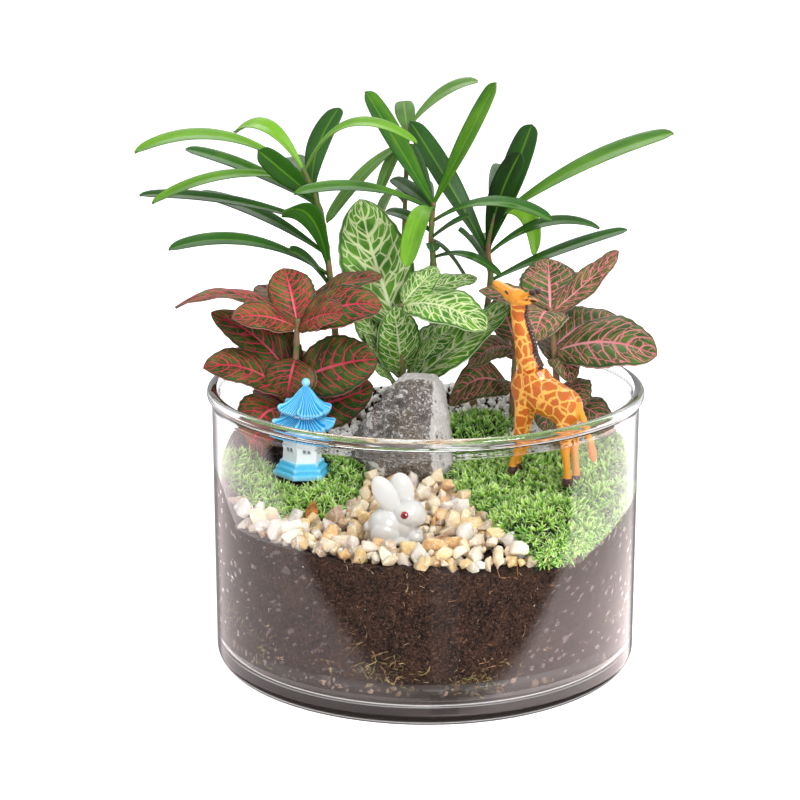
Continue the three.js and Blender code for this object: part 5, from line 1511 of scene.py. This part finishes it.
# A leaf is the height where it leaves the stem, its tip, bend, width and tone (0 is dull and dark, 1 is
# bright; partly the leaf's own colour and partly painted light and shade), and the way it faces if not to
# the light
plants = {
    "strap_plant_left": {
        "kind": "strap", "look": "green", "root": (-37, 57), "radius": 1.9,
        "stem": [(-38, 56, 110), (-41, 55, 150), (-45, 54, 178), (-52, 52, 197)],
        "leaves": [
            (193, (-121, 30, 207), 12, 8.5, 0.82), (196, (-82, 64, 211), 10, 9, 0.95),
            (184, (-69, 26, 208), 0, 10, 0.42, (0, -1, 0.3)), (181, (-103, 62, 204), 3, 8, 0.5),
            (190, (-115, 34, 185), 8, 7, 0.75), (172, (-122, 50, 186), 4, 7, 0.42),
            (159, (-100, 74, 183), 4, 8, 0.36), (150, (-108, 30, 166), 9, 9, 0.48),
            (153, (-59, 26, 182), (2, 0, 10), 10, 0.5, (0, -1, 0.3)), (145, (-58, 43, 163), 3, 9, 0.3),
            (196, (-3, 36, 210), (-4, 0, 14), 7, 0.88), (186, (-37, 76, 220), (-4, 0, 0), 10, 0.4),
            (176, (-62, 100, 194), 9, 8, 0.4), (163, (-54, 100, 170), 8, 8, 0.35),
        ],
    },
    "strap_plant_middle": {
        "kind": "strap", "look": "green", "root": (5, 62), "radius": 1.9,
        "stem": [(4, 61, 120), (4, 60, 154), (3, 60, 165), (4, 60, 181)],
        "leaves": [
            (180, (-25, 58, 229), 0, 11.5, 0.56), (180, (30, 56, 233), 0, 9, 0.66),
            (178, (-8, 32, 158), 9, 9.5, 0.78), (178, (-55, 34, 189), 6, 8, 0.56),
            (168, (-17, 73, 175), 2, 7, 0.4), (173, (54, 38, 177), 8, 8, 0.56),
            (166, (19, 44, 178), 1, 6, 0.4), (162, (4, 46, 162), 2, 6, 0.36),
            (165, (20, 78, 143), 3, 6, 0.4), (157, (33, 42, 152), 5, 5, 0.42),
            (178, (-14, 76, 189), 1, 8, 0.28), (179, (-6, 70, 205), 1, 6, 0.25),
            (170, (-2, 112, 180), 8, 8, 0.36),
        ],
    },
    "strap_plant_right": {
        "kind": "strap", "look": "green", "root": (22, 62), "radius": 1.9,
        "stem": [(23, 62, 100), (29, 62, 144), (28, 62, 160), (31, 61, 176)],
        "leaves": [
            (158, (-6, 76, 214), (0, 4, 1), 12, 0.3), (160, (41, 56, 203), (-2, 0, 1), 12, 0.2),
            (162, (47, 74, 213), 1, 12, 0.28), (173, (105, 46, 213), 5, 11, 0.66),
            (174, (50, 80, 154), (4, 0, 11), 9, 0.98, (0, -1, 0.2)), (158, (78, 76, 167), 8, 7, 0.5),
            (146, (91, 84, 165), 2, 7, 0.4), (152, (15, 50, 171), 2, 6, 0.35),
            (168, (36, 112, 190), 7, 8, 0.4), (150, (22, 100, 158), 7, 8, 0.36),
        ],
    },
    "strap_plant_back": {
        "kind": "strap", "look": "pale", "root": (-9, 77), "radius": 1.7,
        "stem": [(-9, 78, 100), (-9, 84, 150), (-7, 86, 211)],
        "leaves": [
            (207, (-9, 101, 220), 1, 9, 0.35, (0, -1, 0.4)), (210, (24, 92, 230), 5, 7, 0.5),
            (204, (-43, 72, 170), 5, 7, 0.5), (207, (-20, 78, 182), 3, 6, 0.45),
            (192, (-4, 118, 196), 6, 8, 0.5), (176, (-20, 106, 166), 9, 8, 0.45),
        ],
    },
    "red_nerve_plant": {
        "kind": "nerve", "look": "red", "root": (-57, 34), "radius": 2.1,
        "stem": [(-57, 32, 95), (-55, 30, 119), (-54, 30, 136)],
        "leaves": [
            (134, (-60, 44, 155), 2, 21, 0.9), (134, (-106, 30, 141), 9, 16, 0.8, (0, -0.1, 1)),
            (132, (-80, 8, 141), 3, 16, 0.9, (0, -1, 1)), (132, (-34, 10, 143), 2, 16, 0.9, (0, -1, 1)),
            (133, (-18, 24, 143), 4, 22, 0.7, (0, -0.9, 1)),
            (134, (-18, 38, 153), (0, 3, 5), 17, 0.45, (0, -0.3, 1)),
            (108, (-91, 34, 138), (3, 0, 3), 18, 0.25, (0.3, -1, 0.6)), (108, (-69, 46, 133), 1, 19, 0.2),
            (101, (-92, 4, 121), 6, 20, 0.5, (0, -0.9, 1)), (104, (-85, 30, 122), 4, 12, 0.4),
            (119, (-59, 23, 101), (0, -4, 2), 23, 0.5, (0, -1, 0.3)),
            (108, (-20, 23, 120), (0, -3, 3), 27, 0.28, (0.1, -1, 0.6)),
            (96, (-22, 29, 107), (0, 0, -2), 23, 0.2, (0.1, -1, 0.4)),
            (96, (-73.5, 18, 78.5), (-4, -3, 8), 23, 0.8, (0.1, -1, 0.5)),
            (94, (-74, 36, 103), 2, 12, 0.3), (132, (-72, 62, 144), 3, 18, 0.6),
            (104, (-58, 54, 117), 3, 20, 0.5),
        ],
    },
    "white_nerve_plant": {
        "kind": "nerve", "look": "white", "root": (-8, 46), "radius": 2.2,
        "stem": [(-9, 44, 100), (-10, 43, 120), (-10, 42, 140)],
        "leaves": [
            (126, (-28, 62, 182), (-2, 7, 0), 33, 0.5), (139, (26, 18, 134), 5, 25, 0.9),
            (139, (6, 50, 154), 1, 15, 0.8), (139, (23, 52, 149), 3, 13, 0.7),
            (102, (37, 40, 141), 0, 22, 0.6), (108, (-13, 36, 140), 0, 21, 0.5),
            (104, (6, 30, 129), 1, 17, 0.6), (108, (-30, 46, 137), 1, 18, 0.4),
            (106, (-26, 39, 127), 1, 10, 0.5), (100, (-24, 30, 116), 2, 12, 0.4),
            (112, (15, 52, 128), 2, 18, 0.4), (108, (-22, 68, 118), 3, 16, 0.5),
        ],
    },
    "pink_nerve_plant": {
        "kind": "nerve", "look": "pink", "root": (57, 30), "radius": 2.1,
        "stem": [(57, 29, 100), (56, 28, 113), (53, 28, 141)],
        "leaves": [
            (139, (53, 45, 159), 1, 26, 0.6), (139, (81, 26, 166), -1, 15, 0.9),
            (138, (45, 8, 131), 6, 22, 0.7), (138, (23, 36, 147), 3, 14, 0.6),
            (122, (96, 5, 126), 5, 30, 0.65, (0, -0.8, 1)), (124, (84, 46, 133), 4, 23, 0.4),
            (118, (62, 14, 112), 5, 14, 0.5), (106, (67, 14, 101), 4, 20, 0.6),
            (96, (79, 8, 92), 6, 18, 0.5), (98, (50, 14, 91), 4, 16, 0.4),
            (137, (68, 58, 150), 3, 18, 0.6), (116, (62, 58, 122), 4, 20, 0.5),
        ],
    },
    "small_pink_nerve_plant": {
        "kind": "nerve", "look": "pink", "root": (39, 51), "radius": 1.7,
        "stem": [(39, 52, 98), (40, 53, 121)],
        "leaves": [
            (98, (11, 50, 93), 9, 18, 0.7, (0, -1, 0.6)), (117, (19, 48, 110), 5, 16, 0.6),
            (120, (32, 50, 142), 1, 16, 0.5, (0, -1, 0.3)), (100, (37, 37, 103), 3, 14, 0.5),
            (119, (54, 66, 131), 3, 17, 0.5), (112, (36, 76, 118), 4, 17, 0.5),
            (96, (55, 60, 102), 3, 16, 0.5),
        ],
    },
}


leafSlots = {
    "green": "strap_leaf", "pale": "pale_strap_leaf", "red": "red_nerve_leaf", "white": "white_nerve_leaf",
    "pink": "pink_nerve_leaf",
}


def makePlants():
    finishes = {}
    for look, colours in strapColours.items():
        finishes[look] = strapMaterial(f"strapLeaf{look.title()}", colours)
    for look, colours in nerveColours.items():
        finishes[look] = nerveMaterial(f"nerveLeaf{look.title()}", colours)
    stems = {
        "strap": stemMaterial("strapStem", paint(86, 112, 52), paint(128, 92, 60)),
        "nerve": stemMaterial("nerveStem", paint(104, 112, 62), paint(150, 108, 84)),
    }
    for number, (node, plant) in enumerate(plants.items()):
        rng = np.random.default_rng(60 + number)
        x, y = plant["root"]
        level = soilLevel(x, y)
        points = [(x, y, level - 12), (x, y, level + 3), *plant["stem"]]
        heap = Heap()
        addStem(heap, points, plant["radius"], rng)
        for blade in plant["leaves"]:
            addBlade(heap, plant["kind"], stemPoint(points, blade[0]), blade, rng)
        kind, look = plant["kind"], plant["look"]
        heap.build(pieceName(node), [finishes[look], stems[kind]], node, leafSlots[look])


# Studio: a white floor and sky, soft lamps, and what the glass mirrors, which is pale screens low at both
# sides and the dim room between

studio = {
    "camera": (-0.0105, -0.822, 0.3246), "pitch": 14.75, "focal": 2054 / 800 * 36,
    "lamps": [  # place, aimed at, size, power
        ((0.75, -0.6, 1.3), (0, 0, 0.1), 0.5, 12.5), ((-0.9, -0.4, 1.1), (0, 0, 0.12), 0.7, 2.5),
        ((-0.1, 0.8, 1.2), (0, 0, 0.12), 0.9, 8), ((0.3, -1.1, 0.5), (0, 0, 0.08), 0.7, 6.5),
    ],
    "sky": (0.44, 0.44, 0.45, 1), "behind": (1.06, 1.06, 1.06, 1), "above": (0.9, 0.9, 0.9, 1),
    "leftScreen": (1.62, 1.42, 1.44, 1), "rightScreen": (1.8, 1.66, 1.62, 1), "rightLow": (3.6, 3.1, 3.1, 1),
    "backScreen": (0.42, 0.42, 0.43, 1), "room": (0.03, 0.03, 0.03, 1), "seam": (0.24, 0.24, 0.26, 1),
    "under": (0.16, 0.15, 0.15, 1), "floor": (0.93, 0.93, 0.93, 1), "floorGlow": 0.64, "floorReach": 7,
}


def mirrored(recipe):
    # 1 where a ray has already been mirrored by glass or gloss
    return recipe.node("LightPath", out="Glossy Depth").least(1)


def makeSky():
    sky = Recipe("studio", isSky=True)
    x, y, z = sky.parts(sky.node("TexCoord", out="Generated"))
    around = sky.sum("ARCTAN2", x, 0 - y) * (180 / math.pi)  # degrees from the front, to the right
    height = sky.sum("ARCSINE", z) * (180 / math.pi)
    curve = sky.rise(around, 8, 16) * 0.00028 + 0.00064
    edge = (around - 12) * (around - 12) * curve - 23.4
    dim = sky.rise(height - edge, -0.5, 0.7) * (1 - sky.rise(around, 82, 86))
    right = sky.mix(sky.rise(height, -21.5, -17), studio["rightLow"], studio["rightScreen"])
    low = sky.mix(sky.rise(around, -20, 20), studio["leftScreen"], right)
    low = sky.mix(dim, low, studio["room"])
    seam = sky.rise(around, 1.6, 3.2) * (1 - sky.rise(around, 17.2, 17.6))
    low = sky.mix(dim * seam, low, studio["seam"])
    low = sky.mix(1 - sky.rise(height, -31, -25), low, studio["under"])
    low = sky.mix(sky.rise(abs(around), 146, 160), low, studio["backScreen"])
    low = sky.mix(sky.rise(height, -6, 6), low, studio["above"])
    through = sky.node("LightPath", out="Is Transmission Ray")
    straight = sky.node("LightPath", out="Is Camera Ray").most(through)
    colour = sky.mix(straight, studio["sky"], studio["behind"])
    colour = sky.mix(mirrored(sky), colour, low)
    sky.node("OutputWorld", None, {"Surface": sky.node("Background", None, {"Color": colour})})
    bpy.context.scene.world = sky.material


def makeFloor():
    # White and faintly lit itself; what the glass mirrors passes through it to the screens
    white = Recipe("paleFloor")
    grain = white.noise(white.place(), 0.002, 2)
    plain = white.node("BsdfPrincipled", None, {
        "Base Color": white.shade(studio["floor"], 0.99 + grain * 0.02), "Roughness": 0.7,
        "Specular IOR Level": 0.1, "Emission Color": (1, 1, 1, 1), "Emission Strength": studio["floorGlow"],
    })
    shader = white.node("MixShader", None, {0: mirrored(white), 1: plain, 2: white.node("BsdfTransparent")})
    white.node("OutputMaterial", None, {"Surface": shader})
    mesh = bpy.data.meshes.new("floor")
    reach = studio["floorReach"]
    corners = [(-reach, -reach, 0), (reach, -reach, 0), (reach, reach, 0), (-reach, reach, 0)]
    mesh.from_pydata(corners, [], [(0, 1, 2, 3)])
    mesh.materials.append(white.material)
    ground = bpy.data.objects.new("floor", mesh)
    bpy.context.scene.collection.objects.link(ground)
    ground.location.z = -0.0002


def makeStudio():
    makeSky()
    makeFloor()
    for number, (place, aim, size, power) in enumerate(studio["lamps"]):
        lamp = bpy.data.lights.new(f"softbox{number}", "AREA")
        lamp.shape, lamp.size, lamp.energy = "DISK", size, power
        holder = bpy.data.objects.new(f"softbox{number}", lamp)
        bpy.context.scene.collection.objects.link(holder)
        holder.location = place
        holder.visible_glossy = number < 3  # the low one in front isn't mirrored
        holder.rotation_euler = (Vector(aim) - Vector(place)).to_track_quat("-Z", "Y").to_euler()
    eye = bpy.data.cameras.new("camera")
    eye.lens, eye.sensor_width = studio["focal"], 36
    camera = bpy.data.objects.new("camera", eye)
    bpy.context.scene.collection.objects.link(camera)
    camera.location = studio["camera"]
    camera.rotation_euler = (math.pi / 2 - math.radians(studio["pitch"]), 0, 0)
    bpy.context.scene.camera = camera
    bpy.context.scene.view_settings.view_transform = "Standard"


makeStudio()
print("studio set")
makeBowl()
print("glass blown")
makeDrainage()
makeSoil()
print("soil filled")
makeGravel()
print("path laid")
makeBoulder()
makeMoss()
print("moss planted")
makePagoda()
makeRabbit()
makeGiraffe()
makeDryLeaf()
print("ornaments set")
makePlants()
print("plants in")
